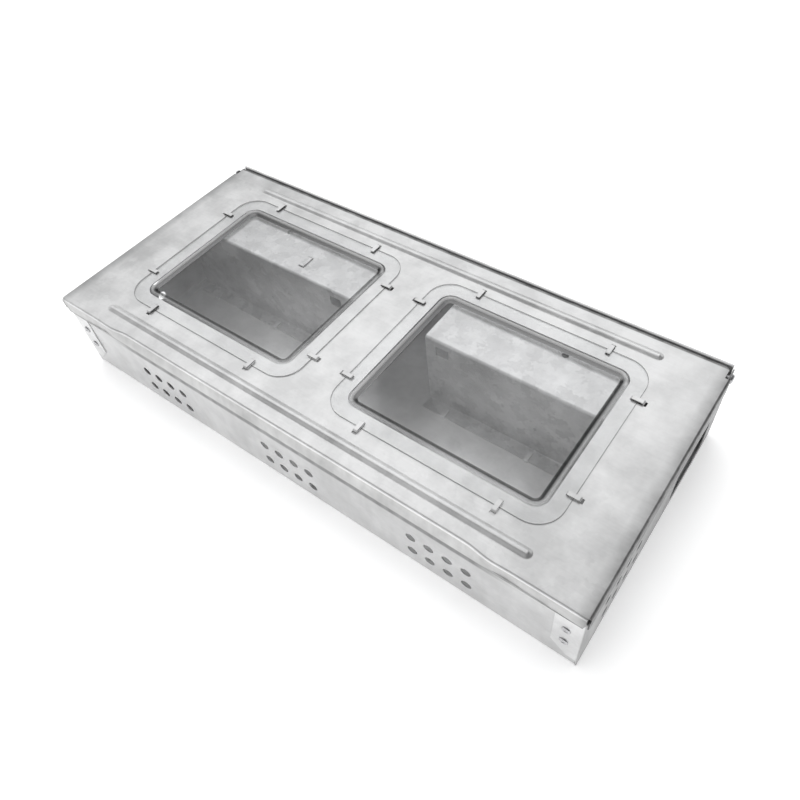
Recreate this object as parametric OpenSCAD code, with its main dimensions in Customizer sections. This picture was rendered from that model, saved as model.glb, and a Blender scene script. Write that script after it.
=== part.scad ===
// Double-window repeating live catch trap in folded galvanised sheet.
// Millimetres. X runs along the length, Y from the front wall to the hinge side, Z up.
// The origin is on the underside of the floor, midway between the ends.

/* [Overall size] */
// Length of the lid over its end flanges
lid_length = 420; // [360:1:504]
// Depth from the face of the front flange to the back of the rear hem
trap_depth = 189; // [175:1:230]
// Height of the lid's flat top above the ground
lid_top = 69.4; // [62:0.1:84]
// Thickness of all the folded sheet
sheet = 0.8; // [0.5:0.1:1]

/* [Clearances] */
// Gap between a lid flange and the wall it laps over
lap_gap = 0.4; // [0.3:0.05:1]
// Gap between the top of the tray walls and the underside of the lid
lid_lift = 0.6; // [0.4:0.05:1.5]
// Gap between the tray's ends and the end walls
corner_gap = 0.4; // [0.2:0.05:1]
// Gap between the rear edge of the lid and the rear wall
rear_gap = 1.7; // [1.6:0.1:3]
// Radial clearance of a moving bore on its pin
pin_clearance = 0.06; // [0.03:0.01:0.1]
// Radial clearance of a fixed pin or rivet in its hole
hole_clearance = 0.03; // [0.02:0.01:0.08]
// Gap between a resting piece and its seat
seat_gap = 0.3; // [0.2:0.05:0.5]

/* [Tray] */
// Outer bend radius between the floor and the front and rear walls
tray_bend = 2.2; // [1.5:0.1:4]
// Height of the hem on the rear wall
hem_height = 6.5; // [4:0.5:10]
// Slit inside the hem
hem_slit = 0.3; // [0.2:0.05:0.6]
// How far the hem stands above the lid's flat top
hem_rise = 0.4; // [0:0.1:1]

/* [Air holes] */
// Diameter of each air hole
vent_d = 7; // [5:0.1:9]
// Distance between neighbouring air holes in a row
vent_pitch = 12.8; // [11:0.1:16]
// Air holes in each row
vent_count = 4; // [2:1:6]
// Height of the lower row
vent_low = 15; // [11:0.5:20]
// Height difference between the two rows
vent_rise = 16.2; // [12:0.1:20]
// Distance between the centres of neighbouring groups on the front wall
vent_group_pitch = 118; // [100:1:140]
// Distance from the front wall to the first hole of the end-wall group
vent_end_inset = 30; // [20:1:45]

/* [End walls] */
// Width of the flaps that lap around the corners
flap_width = 17; // [12:0.5:25]
// Height of the bottom of a flap at its free edge
flap_low = 19; // [12:0.5:24]
// Size of the corner cut from a flap
flap_cut = 10; // [6:0.5:12]
// Width of the flange that lies on the floor
end_foot = 7; // [5:0.5:12]
// Width of the entry opening
entry_width = 50; // [40:1:52]
// Height of the entry opening
entry_height = 28; // [24:1:34]
// Height of the entry's sill above the ground
entry_sill = 7; // [5:0.5:12]
// Corner radius of the entry opening
entry_corner = 4; // [2:0.5:8]

/* [Corner rivets] */
// Radius of a corner rivet's shank
rivet_r = 1.6; // [1.2:0.1:2.2]
// Radius of its outer head
rivet_head_r = 2.9; // [2.6:0.1:4]
// Height of its outer head
rivet_head = 0.9; // [0.6:0.1:1.5]
// Radius of the formed tail inside
rivet_tail_r = 2.5; // [2.4:0.1:3.4]
// Height of the formed tail
rivet_tail = 0.7; // [0.5:0.1:1.2]
// Distance from the end wall to the rivets
rivet_inset = 9.5; // [7:0.5:12]
// Height of the lower rivet
rivet_low = 25.7; // [23:0.1:28]
// Height difference between the two rivets of a flap
rivet_rise = 15.3; // [12:0.1:18]

/* [Lid] */
// Height of the front and end flanges
flange_height = 12.2; // [9:0.1:16]
// How far the flared lip leans out at its bottom edge
lip_reach = 3.6; // [2:0.1:6]
// How far the lip's fold is set back from the face of the front flange
lip_setback = 1; // [0:0.1:1]
// Length of the flared lip between its two transitions
lip_length = 282; // [200:1:310]
// Length of each transition between lip and flange
lip_blend = 22; // [12:1:30]
// Length of each rib
rib_length = 341; // [260:1:350]
// Width of each rib
rib_width = 7.4; // [5:0.1:9]
// Height of each rib above the lid
rib_height = 1.5; // [1:0.1:2.2]
// Distance from the front flange face to the middle of the front rib
front_rib_inset = 14; // [12:0.5:18]
// Distance from the rear edge of the lid to the middle of the rear rib
rear_rib_inset = 14; // [12:0.5:18]

/* [Windows] */
// Distance between the centres of the two windows
window_pitch = 186; // [172:1:210]
// Length of each window opening
window_length = 137.6; // [100:0.1:145]
// Depth of each window opening from front to rear
window_depth = 112; // [90:0.1:118]
// Corner radius of the window openings
window_corner = 9; // [5:0.5:16]
// Corner radius of the pane's outline
pane_corner = 17; // [8:0.5:24]
// Thickness of the clear pane
pane = 0.8; // [0.5:0.1:1.2]
// Width of the pane's flange on the lid
pane_flange = 10; // [8:0.1:12]
// Gap between the dished pane and the edge of the window opening
pane_gap = 0.6; // [0.3:0.1:1.2]
// Depth of the dish below the pane's flange
dish_depth = 2.3; // [1.4:0.1:2.6]
// How far the dish wall leans in
dish_lean = 3.4; // [1:0.1:6]

/* [Pane tabs] */
// Length of each pane tab
tab_length = 8.4; // [6:0.1:12]
// Width of each pane tab
tab_width = 3; // [2:0.1:5]
// Gap between a folded tab and the sheet it holds down
tab_over = 0.1; // [0.05:0.05:0.2]
// Share of a window's length between the two tabs on its front or rear side
tab_spread = 0.69; // [0.5:0.01:0.8]

/* [Entry tunnels] */
// Distance from the front flange face to the tunnels' inner walls
tunnel_front_inset = 112.1; // [105:0.1:130]
// Width of a tunnel over its two walls
tunnel_width = 67; // [60:0.5:67]
// Gap between the lid's flat top and the tunnel roofs
roof_drop = 3.9; // [3.6:0.1:6]
// Gap between an end wall and the tunnel behind it
tunnel_end_gap = 4.2; // [4:0.1:8]
// Position of the left tunnel's inner end, left of the middle
left_tunnel_reach = 24; // [20:1:45]
// Position of the right tunnel's inner end, right of the middle
right_tunnel_reach = 33; // [20:1:45]
// Width of the tunnels' front foot flanges
tunnel_foot = 10; // [6:0.5:14]
// Width of the tunnels' rear foot flanges
tunnel_rear_foot = 6; // [4:0.5:7]
// Distance from a tunnel's inner end to its first floor tab
floor_tab_inner = 18; // [10:1:30]
// Distance from a tunnel's outer end to its last floor tab
floor_tab_outer = 24; // [12:1:40]
// Diameter of the hole in each tunnel roof
roof_hole_d = 4.6; // [3:0.1:6]
// Height of the stop tab's slot
stop_slot = 8.4; // [6:0.1:9]
// Width of the stop tab
stop_width = 10; // [6:0.5:14]
// Distance from a pivot pin to the far edge of its stop tab
stop_arm = 77; // [70:0.5:77]
// Length of the raised tab in the left tunnel's roof
roof_tab_length = 12; // [8:0.5:16]
// Width of the raised tab in the left tunnel's roof
roof_tab_width = 5; // [3:0.5:7]
// Distance from the pivot pin to the raised roof tab
roof_tab_offset = 36; // [20:1:60]
// Distance from the tunnel's inner wall to the raised roof tab
roof_tab_inset = 8; // [4:0.5:30]
// How far the raised roof tab stands off the roof
roof_tab_lift = 0.3; // [0.2:0.05:0.4]

/* [Treadles] */
// Distance from the end walls' inner faces to the pivot pins
pivot_inset = 90; // [84:1:96]
// Height of the pivot pins above the ground
pivot_height = 24.5; // [22:0.1:27]
// Radius of the pivot pins
pivot_r = 1.5; // [1.2:0.1:2]
// Length of a treadle from its pin towards the entry
treadle_entry_arm = 84.5; // [78:0.5:85]
// Length of a treadle from its pin towards the inner end
treadle_inner_arm = 81.5; // [81:0.1:83]
// Slope of a treadle at rest in degrees
treadle_slope = 16; // [14:0.5:17]
// Side clearance between a treadle and the tunnel walls
treadle_side_gap = 1; // [0.6:0.1:2]
// Length of the weighting hem folded under a treadle's entry edge
treadle_hem = 16; // [8:1:24]
// Height of the treadle plate above the pin's axis
treadle_lift = 2.6; // [2.2:0.1:4]
// Half the length of a treadle's pivot ear
ear_half = 9; // [6:0.5:14]
// Depth of a treadle's pivot ear below the pin's axis
ear_drop = 4; // [3.5:0.1:6]

/* [Lid hinge] */
// Distance from the rear edge of the lid to the hinge axis
hinge_inset = 5; // [5:0.1:7]
// Drop from the lid's flat top to the hinge axis
hinge_drop = 3.4; // [3:0.1:3.6]
// Radius of the hinge pins
hinge_r = 1.5; // [1.2:0.1:1.8]
// Radius of the hinge pin's outer head
hinge_head_r = 3.2; // [2.8:0.1:3.5]
// Height of the hinge pin's outer head
hinge_head = 2.2; // [1:0.1:3]
// Length of the hinge pin's tail
hinge_tail = 1; // [0.6:0.1:1.2]
// Radius of the hinge pin's tail
hinge_tail_r = 2.3; // [2:0.1:2.8]
// Radius of the lid's hinge ears
hinge_ear_r = 4.4; // [4:0.1:4.8]
// Gap between a hinge ear and the end wall
hinge_ear_gap = 1.5; // [1:0.1:2.5]
// Length of the notch behind a lid end flange
notch_length = 9; // [8.8:0.1:12]
// Radius of the lid's rear corners
lid_corner = 3; // [1:0.5:4]

/* [Hidden] */
$fn = 64;
eps = 0.01;
// Lid faces
lid_x = lid_length / 2;
lid_front = -trap_depth / 2;
lid_under = lid_top - sheet;
// End walls, measured along X
end_out = lid_x - sheet - lap_gap;
end_in = end_out - sheet;
tray_x = end_in - corner_gap;
// Front wall, corner flap and rear wall, measured along Y
flap_face = lid_front + sheet + lap_gap;
wall_face = flap_face + sheet;
wall_back = wall_face + sheet;
hem_face = trap_depth / 2;
rear_face = hem_face - sheet - hem_slit;
rear_in = rear_face - sheet;
lid_rear = rear_in - rear_gap;
wall_top = lid_under - lid_lift;
hem_top = lid_top + hem_rise;
hem_bottom = hem_top - hem_height;
floor_top = sheet;
// Tunnels
tunnel_face = lid_front + tunnel_front_inset;
tunnel_back = tunnel_face + tunnel_width;
tunnel_mid = (tunnel_face + tunnel_back) / 2;
roof_top = lid_top - roof_drop;
roof_under = roof_top - sheet;
tunnel_out = end_in - tunnel_end_gap;
foot_top = floor_top + sheet;
// Treadles
pivot_x = end_in - pivot_inset;
treadle_top = treadle_lift + sheet;
treadle_front = tunnel_face + sheet + treadle_side_gap;
treadle_back = tunnel_back - sheet - treadle_side_gap;
// Height of the treadle's top face at rest, a distance s from the pin towards the inner end
function treadle_height(s) = pivot_height + (s + treadle_top * sin(treadle_slope))
    * tan(treadle_slope) + treadle_top * cos(treadle_slope);
stop_under = treadle_height(stop_arm) + seat_gap;
stop_x = pivot_x - stop_arm;
// Hinge
hinge_y = lid_rear - hinge_inset;
hinge_z = lid_top - hinge_drop;
hinge_ear_out = end_in - hinge_ear_gap;
hinge_ear_in = hinge_ear_out - sheet;
notch_front = lid_rear - notch_length;
// Panes
tab_seat = lid_top + pane;
tab_top = tab_seat + tab_over + sheet;
pane_length = window_length + 2 * pane_flange;
pane_depth = window_depth + 2 * pane_flange;
// Rivets
rivet_x = end_out - rivet_inset;

// The piece to draw, or all of them

// Sweeps a section drawn in Y and Z from x0 to x1
module along_x(x0, x1) {
    translate([x0, 0, 0]) rotate([90, 0, 90]) linear_extrude(x1 - x0) children();
}

// Box given by two opposite corners
module block(low, high) {
    translate(low) cube(high - low);
}

// Rectangle given by two opposite corners
module patch(low, high) {
    translate(low) square(high - low);
}

// Rectangle with round corners, centred on the origin
module round_patch(length, depth, corner) {
    square([length - 2 * corner, depth], center = true);
    square([length, depth - 2 * corner], center = true);
    for (sx = [-1, 1], sy = [-1, 1])
        translate([sx * (length / 2 - corner), sy * (depth / 2 - corner)]) circle(corner);
}

// Quarter ring of folded sheet; the centre is the bend's centre, side is +1 or -1 along Y
module bend(centre, radius, side) {
    translate(centre) intersection() {
        difference() {
            circle(radius);
            circle(radius - sheet);
        }
        translate([side > 0 ? 0 : -radius, -radius]) square(radius);
    }
}

// Two rows of round air holes as a flat pattern, starting from the first hole
module vent_pattern() {
    for (i = [0 : vent_count - 1], row = [0, 1])
        translate([i * vent_pitch, vent_low + row * vent_rise]) circle(d = vent_d);
}

// Mirrors the children to the left end when side is -1
module at_side(side) {
    if (side > 0) children();
    else mirror([1, 0, 0]) children();
}

// X positions of the floor tabs over one tunnel's foot, from its inner end
function floor_tabs(reach) = [reach + floor_tab_inner, (reach + tunnel_out) / 2,
    tunnel_out - floor_tab_outer];

// Tray section: floor, front wall and rear wall with its hem
module tray_section() {
    front_bend = wall_face + tray_bend;
    rear_bend = rear_face - tray_bend;
    patch([front_bend, 0], [rear_bend, sheet]);
    bend([front_bend, tray_bend], tray_bend, -1);
    bend([rear_bend, tray_bend], tray_bend, 1);
    patch([wall_face, tray_bend], [wall_back, wall_top]);
    patch([rear_in, tray_bend], [rear_face, hem_top - sheet]);
    patch([rear_in, hem_top - sheet], [hem_face, hem_top]);
    patch([hem_face - sheet, hem_bottom], [hem_face, hem_top]);
}

// One tab lanced from the floor and folded over a tunnel's front foot
module floor_tab(x) {
    root = tunnel_face - tunnel_foot - sheet - lap_gap;
    block([x - tab_width / 2, root, 0], [x + tab_width / 2, root + sheet, foot_top + tab_over + sheet]);
    block([x - tab_width / 2, root, foot_top + tab_over],
        [x + tab_width / 2, root + tab_length, foot_top + tab_over + sheet]);
}

// Slot left in the floor under a floor tab
module floor_slot(x) {
    root = tunnel_face - tunnel_foot - sheet - lap_gap;
    block([x - tab_width / 2, root + sheet, -eps], [x + tab_width / 2, root + tab_length, sheet + eps]);
}

// Folded floor, front wall and rear wall with air holes and tunnel tabs
module base_tray() color([0.80, 0.81, 0.82]) {
    tabs = concat(floor_tabs(right_tunnel_reach), [for (x = floor_tabs(left_tunnel_reach)) -x]);
    difference() {
        along_x(-tray_x, tray_x) tray_section();
        for (group = [-1, 0, 1])
            translate([group * vent_group_pitch - (vent_count - 1) * vent_pitch / 2, wall_back + 1, 0])
                rotate([90, 0, 0]) linear_extrude(sheet + 2) vent_pattern();
        for (sx = [-1, 1], row = [0, 1]) {
            translate([sx * rivet_x, wall_back + 1, rivet_low + row * rivet_rise])
                rotate([90, 0, 0]) cylinder(r = rivet_r + hole_clearance, h = sheet + 2);
            translate([sx * rivet_x, rear_face + 1, rivet_low + row * rivet_rise])
                rotate([90, 0, 0]) cylinder(r = rivet_r + hole_clearance, h = sheet + 2);
        }
        for (x = tabs) floor_slot(x);
    }
    for (x = tabs) floor_tab(x);
}

// Flat outline of a corner flap, from the corner along +X, with its lower free corner cut off
module flap_outline(top) {
    polygon([[0, flap_low - flap_cut], [-flap_width + flap_cut, flap_low - flap_cut],
        [-flap_width, flap_low], [-flap_width, top], [0, top]]);
}

// Right end wall: panel with entry and air holes, two corner flaps and two foot strips
module end_wall() {
    foot_edge = tunnel_face - tunnel_foot - sheet - 2 * lap_gap;
    difference() {
        union() {
            along_x(end_in, end_out)
                patch([flap_face, 0], [rear_face + sheet, wall_top]);
            translate([end_out, flap_face + sheet, 0]) rotate([90, 0, 0])
                linear_extrude(sheet) flap_outline(wall_top);
            translate([end_out, rear_face + sheet, 0]) rotate([90, 0, 0])
                linear_extrude(sheet) flap_outline(hem_bottom - seat_gap);
            block([end_in - end_foot, wall_back + tray_bend, floor_top], [end_out, foot_edge, foot_top]);
            block([end_in - end_foot, tunnel_face + sheet + lap_gap, floor_top],
                [end_out, tunnel_back - sheet - lap_gap, foot_top]);
        }
        along_x(end_in - 1, end_out + 1)
            translate([tunnel_mid, entry_sill + entry_height / 2])
                round_patch(entry_width, entry_height, entry_corner);
        along_x(end_in - 1, end_out + 1)
            translate([wall_face + vent_end_inset, 0]) vent_pattern();
        translate([end_in - 1, hinge_y, hinge_z]) rotate([0, 90, 0])
            cylinder(r = hinge_r + hole_clearance, h = sheet + 2);
        for (row = [0, 1]) {
            translate([rivet_x, flap_face + sheet + 1, rivet_low + row * rivet_rise])
                rotate([90, 0, 0]) cylinder(r = rivet_r + hole_clearance, h = sheet + 2);
            translate([rivet_x, rear_face + sheet + 1, rivet_low + row * rivet_rise])
                rotate([90, 0, 0]) cylinder(r = rivet_r + hole_clearance, h = sheet + 2);
        }
        // clearance above the panel for the lid's rear corner
        block([end_in - 1, rear_in - eps, hem_bottom - seat_gap], [end_out + 1, hem_face + 1, lid_top]);
    }
}

module right_end_wall() color([0.78, 0.79, 0.80]) at_side(1) end_wall();

module left_end_wall() color([0.78, 0.79, 0.80]) at_side(-1) end_wall();

// Tunnel cover folded from one sheet: front foot, inner wall, roof, back wall, rear foot
module tunnel_cover(reach) {
    difference() {
        along_x(reach, tunnel_out) {
            patch([tunnel_face - tunnel_foot, floor_top], [tunnel_face + sheet, foot_top]);
            patch([tunnel_face, floor_top], [tunnel_face + sheet, roof_top]);
            patch([tunnel_face, roof_under], [tunnel_back, roof_top]);
            patch([tunnel_back - sheet, floor_top], [tunnel_back, roof_top]);
            patch([tunnel_back - sheet, floor_top], [tunnel_back + tunnel_rear_foot, foot_top]);
        }
        translate([pivot_x, tunnel_mid, roof_under - 1]) cylinder(d = roof_hole_d, h = sheet + 2);
        translate([pivot_x, tunnel_back + 1, pivot_height]) rotate([90, 0, 0])
            cylinder(r = pivot_r + hole_clearance, h = tunnel_width + 2);
        block([stop_x, tunnel_face - 1, stop_under + sheet],
            [stop_x + stop_width, tunnel_face + sheet + eps, stop_under + sheet + stop_slot]);
    }
    block([stop_x, tunnel_face, stop_under],
        [stop_x + stop_width, tunnel_face + sheet + stop_slot, stop_under + sheet]);
}

module right_tunnel_cover() color([0.74, 0.75, 0.76]) at_side(1) tunnel_cover(right_tunnel_reach);

// The left cover also carries a tab lanced up from its roof
module left_tunnel_cover() color([0.74, 0.75, 0.76]) at_side(-1) {
    tab_x = pivot_x - roof_tab_offset;
    tab_y = tunnel_face + roof_tab_inset;
    difference() {
        tunnel_cover(left_tunnel_reach);
        block([tab_x, tab_y, roof_under - 1],
            [tab_x + roof_tab_width, tab_y + roof_tab_length - sheet, roof_top + 1]);
    }
    block([tab_x, tab_y + roof_tab_length - sheet, roof_under],
        [tab_x + roof_tab_width, tab_y + roof_tab_length, roof_top + roof_tab_lift + sheet]);
    block([tab_x, tab_y, roof_top + roof_tab_lift],
        [tab_x + roof_tab_width, tab_y + roof_tab_length, roof_top + roof_tab_lift + sheet]);
}

// Treadle laid flat with the pin's axis on the Y axis: plate, weighting hem and two pivot ears
module treadle_flat() {
    difference() {
        union() {
            block([-treadle_inner_arm, treadle_front, treadle_lift],
                [treadle_entry_arm, treadle_back, treadle_top]);
            block([treadle_entry_arm - treadle_hem, treadle_front, treadle_lift - sheet],
                [treadle_entry_arm, treadle_back, treadle_lift]);
            for (y = [treadle_front, treadle_back - sheet])
                block([-ear_half, y, -ear_drop], [ear_half, y + sheet, treadle_lift + eps]);
        }
        translate([0, treadle_back + 1, 0]) rotate([90, 0, 0])
            cylinder(r = pivot_r + pin_clearance, h = treadle_back - treadle_front + 2);
    }
}

// Treadle at rest in its tunnel, entry end down
module treadle() {
    translate([pivot_x, 0, pivot_height]) rotate([0, treadle_slope, 0]) treadle_flat();
}

module right_treadle() color([0.70, 0.71, 0.72]) at_side(1) treadle();

module left_treadle() color([0.70, 0.71, 0.72]) at_side(-1) treadle();

// Pivot pin held in the two walls of a tunnel cover
module treadle_pin() {
    translate([pivot_x, tunnel_back, pivot_height]) rotate([90, 0, 0])
        cylinder(r = pivot_r, h = tunnel_width);
}

module right_treadle_pin() color([0.60, 0.61, 0.62]) at_side(1) treadle_pin();

module left_treadle_pin() color([0.60, 0.61, 0.62]) at_side(-1) treadle_pin();

// Solid of a rib: a long cylinder with ball ends, all of one radius
module rib_solid(y, radius) {
    arc_radius = (rib_width * rib_width / 4 + rib_height * rib_height) / (2 * rib_height);
    centre_z = lid_top + rib_height - arc_radius;
    half = rib_length / 2 - rib_width / 2;
    translate([-half, y, centre_z]) rotate([0, 90, 0]) cylinder(r = radius, h = 2 * half);
    for (sx = [-1, 1]) translate([sx * half, y, centre_z]) rotate_extrude()
        intersection() {
            circle(radius);
            translate([0, -radius]) square([radius, 2 * radius]);
        }
}

// Embossed rib as raised sheet; the hollow behind it is cut by rib_hollow
module rib(y) {
    arc_radius = (rib_width * rib_width / 4 + rib_height * rib_height) / (2 * rib_height);
    intersection() {
        rib_solid(y, arc_radius);
        block([-lid_x, y - rib_width, lid_under], [lid_x, y + rib_width, lid_top + 2 * rib_height]);
    }
}

module rib_hollow(y) {
    arc_radius = (rib_width * rib_width / 4 + rib_height * rib_height) / (2 * rib_height);
    intersection() {
        rib_solid(y, arc_radius - sheet);
        block([-lid_x, y - rib_width, lid_under - 1], [lid_x, y + rib_width, lid_top + 2 * rib_height]);
    }
}

// Leaf of the front flange, leaning out by reach at the bottom and set back at the fold
module lip_leaf(reach, setback) {
    fold = lid_front + setback;
    foot = fold - reach;
    bottom = lid_top - flange_height;
    polygon([[fold, lid_top], [fold + sheet, lid_top], [fold + sheet, lid_under],
        [foot + sheet, bottom], [foot, bottom]]);
}

// Strip of the lid's top between the fold and the flat sheet
module lip_strip(setback) {
    patch([lid_front + setback, lid_under], [lid_front + lip_setback + sheet, lid_top]);
}

// One pane tab at the origin: root at -Y, free end towards +Y
module pane_tab() {
    block([-tab_width / 2, -tab_length / 2, lid_under],
        [tab_width / 2, -tab_length / 2 + sheet, tab_top]);
    block([-tab_width / 2, -tab_length / 2, tab_seat + tab_over], [tab_width / 2, tab_length / 2, tab_top]);
}

// Slot left in the lid under a pane tab
module pane_tab_slot() {
    block([-tab_width / 2, -tab_length / 2 + sheet, lid_under - 1],
        [tab_width / 2, tab_length / 2, lid_top + eps]);
}

// Places the children at the eight tab positions of both windows, across the pane's edge
module at_tabs() {
    for (sw = [-1, 1]) translate([sw * window_pitch / 2, 0, 0])
        for (side = [-1, 1]) {
            translate([side * window_length * tab_spread / 2, -pane_depth / 2, 0]) children();
            translate([side * window_length * tab_spread / 2, pane_depth / 2, 0])
                rotate([0, 0, 180]) children();
            translate([-pane_length / 2, side * window_depth * tab_spread / 2, 0])
                rotate([0, 0, -90]) children();
            translate([pane_length / 2, side * window_depth * tab_spread / 2, 0])
                rotate([0, 0, 90]) children();
        }
}

// Hinge ear under the lid's right rear corner, without its bore
module hinge_ear() {
    along_x(hinge_ear_in, hinge_ear_out) {
        translate([hinge_y, hinge_z]) circle(hinge_ear_r);
        patch([hinge_y - hinge_ear_r, hinge_z], [lid_rear, lid_under + eps]);
    }
}

// Flat outline of the lid's top with its rear corner notches and rounded rear corners
module lid_outline() {
    patch([-lid_x, lid_front + lip_setback], [lid_x, notch_front]);
    patch([-hinge_ear_out, notch_front - eps], [hinge_ear_out, lid_rear - lid_corner]);
    patch([-hinge_ear_out + lid_corner, notch_front], [hinge_ear_out - lid_corner, lid_rear]);
    for (sx = [-1, 1])
        translate([sx * (hinge_ear_out - lid_corner), lid_rear - lid_corner]) circle(lid_corner);
}

// Hinged lid: one sheet with flanges, flared lip, two ribs, two windows, tabs and hinge ears
module lid_panel() color([0.84, 0.85, 0.86]) {
    blend_in = lip_length / 2;
    blend_out = lip_length / 2 + lip_blend;
    flange_end = lid_x - sheet - lap_gap;
    front_rib = lid_front + front_rib_inset;
    rear_rib = lid_rear - rear_rib_inset;
    difference() {
        union() {
            translate([0, 0, lid_under]) linear_extrude(sheet) lid_outline();
            along_x(-blend_in, blend_in) lip_leaf(lip_reach, lip_setback);
            for (sx = [-1, 1]) {
                hull() {
                    translate([sx * blend_in, 0, 0]) along_x(-eps, eps) lip_leaf(lip_reach, lip_setback);
                    translate([sx * blend_out, 0, 0]) along_x(-eps, eps) lip_leaf(0, 0);
                }
                hull() {
                    translate([sx * blend_in, 0, 0]) along_x(-eps, eps) lip_strip(lip_setback);
                    translate([sx * blend_out, 0, 0]) along_x(-eps, eps) lip_strip(0);
                }
                block([sx > 0 ? blend_out : -flange_end, lid_front, lid_top - flange_height],
                    [sx > 0 ? flange_end : -blend_out, lid_front + sheet, lid_top]);
                block([sx > 0 ? blend_out : -lid_x, lid_front, lid_under],
                    [sx > 0 ? lid_x : -blend_out, lid_front + lip_setback + eps, lid_top]);
                block([sx > 0 ? lid_x - sheet : -lid_x, lid_front, lid_top - flange_height],
                    [sx > 0 ? lid_x : -lid_x + sheet, notch_front, lid_top]);
                at_side(sx) hinge_ear();
            }
            rib(front_rib);
            rib(rear_rib);
            at_tabs() pane_tab();
        }
        rib_hollow(front_rib);
        rib_hollow(rear_rib);
        for (sw = [-1, 1]) translate([sw * window_pitch / 2, 0, lid_under - 1])
            linear_extrude(sheet + 2) round_patch(window_length, window_depth, window_corner);
        at_tabs() pane_tab_slot();
        translate([-lid_x, hinge_y, hinge_z]) rotate([0, 90, 0])
            cylinder(r = hinge_r + pin_clearance, h = lid_length);
    }
}

// Tapered solid of the dish: a rounded rectangle that shrinks downward
module dish_solid(length, depth, corner, top, bottom, lean) {
    hull() {
        translate([0, 0, top]) linear_extrude(eps) round_patch(length, depth, corner);
        translate([0, 0, bottom]) linear_extrude(eps)
            round_patch(length - 2 * lean, depth - 2 * lean, corner);
    }
}

// Clear vacuum-formed pane: a flange on the lid and a shallow dish through the opening
module window_pane(side) {
    dish_length = window_length - 2 * pane_gap;
    dish_depth_y = window_depth - 2 * pane_gap;
    corner = window_corner - pane_gap;
    translate([side * window_pitch / 2, 0, 0]) difference() {
        union() {
            translate([0, 0, lid_top]) linear_extrude(pane)
                round_patch(pane_length, pane_depth, pane_corner);
            dish_solid(dish_length, dish_depth_y, corner, lid_top, lid_top - dish_depth, dish_lean);
        }
        dish_solid(dish_length - 2 * pane, dish_depth_y - 2 * pane, corner - pane,
            lid_top + pane, lid_top + pane - dish_depth, dish_lean);
    }
}

module left_window_pane() color([0.85, 0.90, 0.95, 0.4]) window_pane(-1);

module right_window_pane() color([0.85, 0.90, 0.95, 0.4]) window_pane(1);

// Hinge pin riveted in the right end wall: domed head outside, shank through the lid's ear, tail inside
module hinge_pin() {
    tail_out = hinge_ear_in - seat_gap;
    translate([tail_out - hinge_tail, hinge_y, hinge_z]) rotate([0, 90, 0]) rotate_extrude() {
        square([hinge_r, end_out - tail_out + hinge_tail + eps]);
        square([hinge_tail_r, hinge_tail]);
        translate([0, end_out - tail_out + hinge_tail]) intersection() {
            scale([1, hinge_head / hinge_head_r]) circle(hinge_head_r);
            square([hinge_head_r, hinge_head]);
        }
    }
}

module right_hinge_pin() color([0.66, 0.67, 0.68]) at_side(1) hinge_pin();

module left_hinge_pin() color([0.66, 0.67, 0.68]) at_side(-1) hinge_pin();

// Corner rivet lying along Y: head against outer_y facing out, tail against the wall's other face
module corner_rivet(sx, row, outer_y, facing) {
    grip = 2 * sheet;
    translate([sx * rivet_x, outer_y, rivet_low + row * rivet_rise]) rotate([-90 * facing, 0, 0])
        rotate_extrude() {
            translate([0, -grip - rivet_tail]) square([rivet_r, grip + rivet_tail + eps]);
            translate([0, -grip - rivet_tail]) square([rivet_tail_r, rivet_tail]);
            intersection() {
                scale([1, rivet_head / rivet_head_r]) circle(rivet_head_r);
                square([rivet_head_r, rivet_head]);
            }
        }
}

module front_rivet(sx, row) color([0.66, 0.67, 0.68]) corner_rivet(sx, row, flap_face, -1);

module rear_rivet(sx, row) color([0.66, 0.67, 0.68]) corner_rivet(sx, row, rear_face + sheet, 1);

module front_left_upper_rivet() front_rivet(-1, 1);
module front_left_lower_rivet() front_rivet(-1, 0);
module front_right_upper_rivet() front_rivet(1, 1);
module front_right_lower_rivet() front_rivet(1, 0);
module rear_left_upper_rivet() rear_rivet(-1, 1);
module rear_left_lower_rivet() rear_rivet(-1, 0);
module rear_right_upper_rivet() rear_rivet(1, 1);
module rear_right_lower_rivet() rear_rivet(1, 0);

base_tray();
left_end_wall();
right_end_wall();
left_tunnel_cover();
right_tunnel_cover();
left_treadle();
right_treadle();
left_treadle_pin();
right_treadle_pin();
lid_panel();
left_window_pane();
right_window_pane();
left_hinge_pin();
right_hinge_pin();
front_left_upper_rivet();
front_left_lower_rivet();
front_right_upper_rivet();
front_right_lower_rivet();
rear_left_upper_rivet();
rear_left_lower_rivet();
rear_right_upper_rivet();
rear_right_lower_rivet();
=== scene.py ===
import math

import bpy
import numpy as np
from bpy.props import FloatProperty, FloatVectorProperty, PointerProperty
from mathutils import Matrix, Vector
from mathutils.geometry import delaunay_2d_cdt


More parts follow.
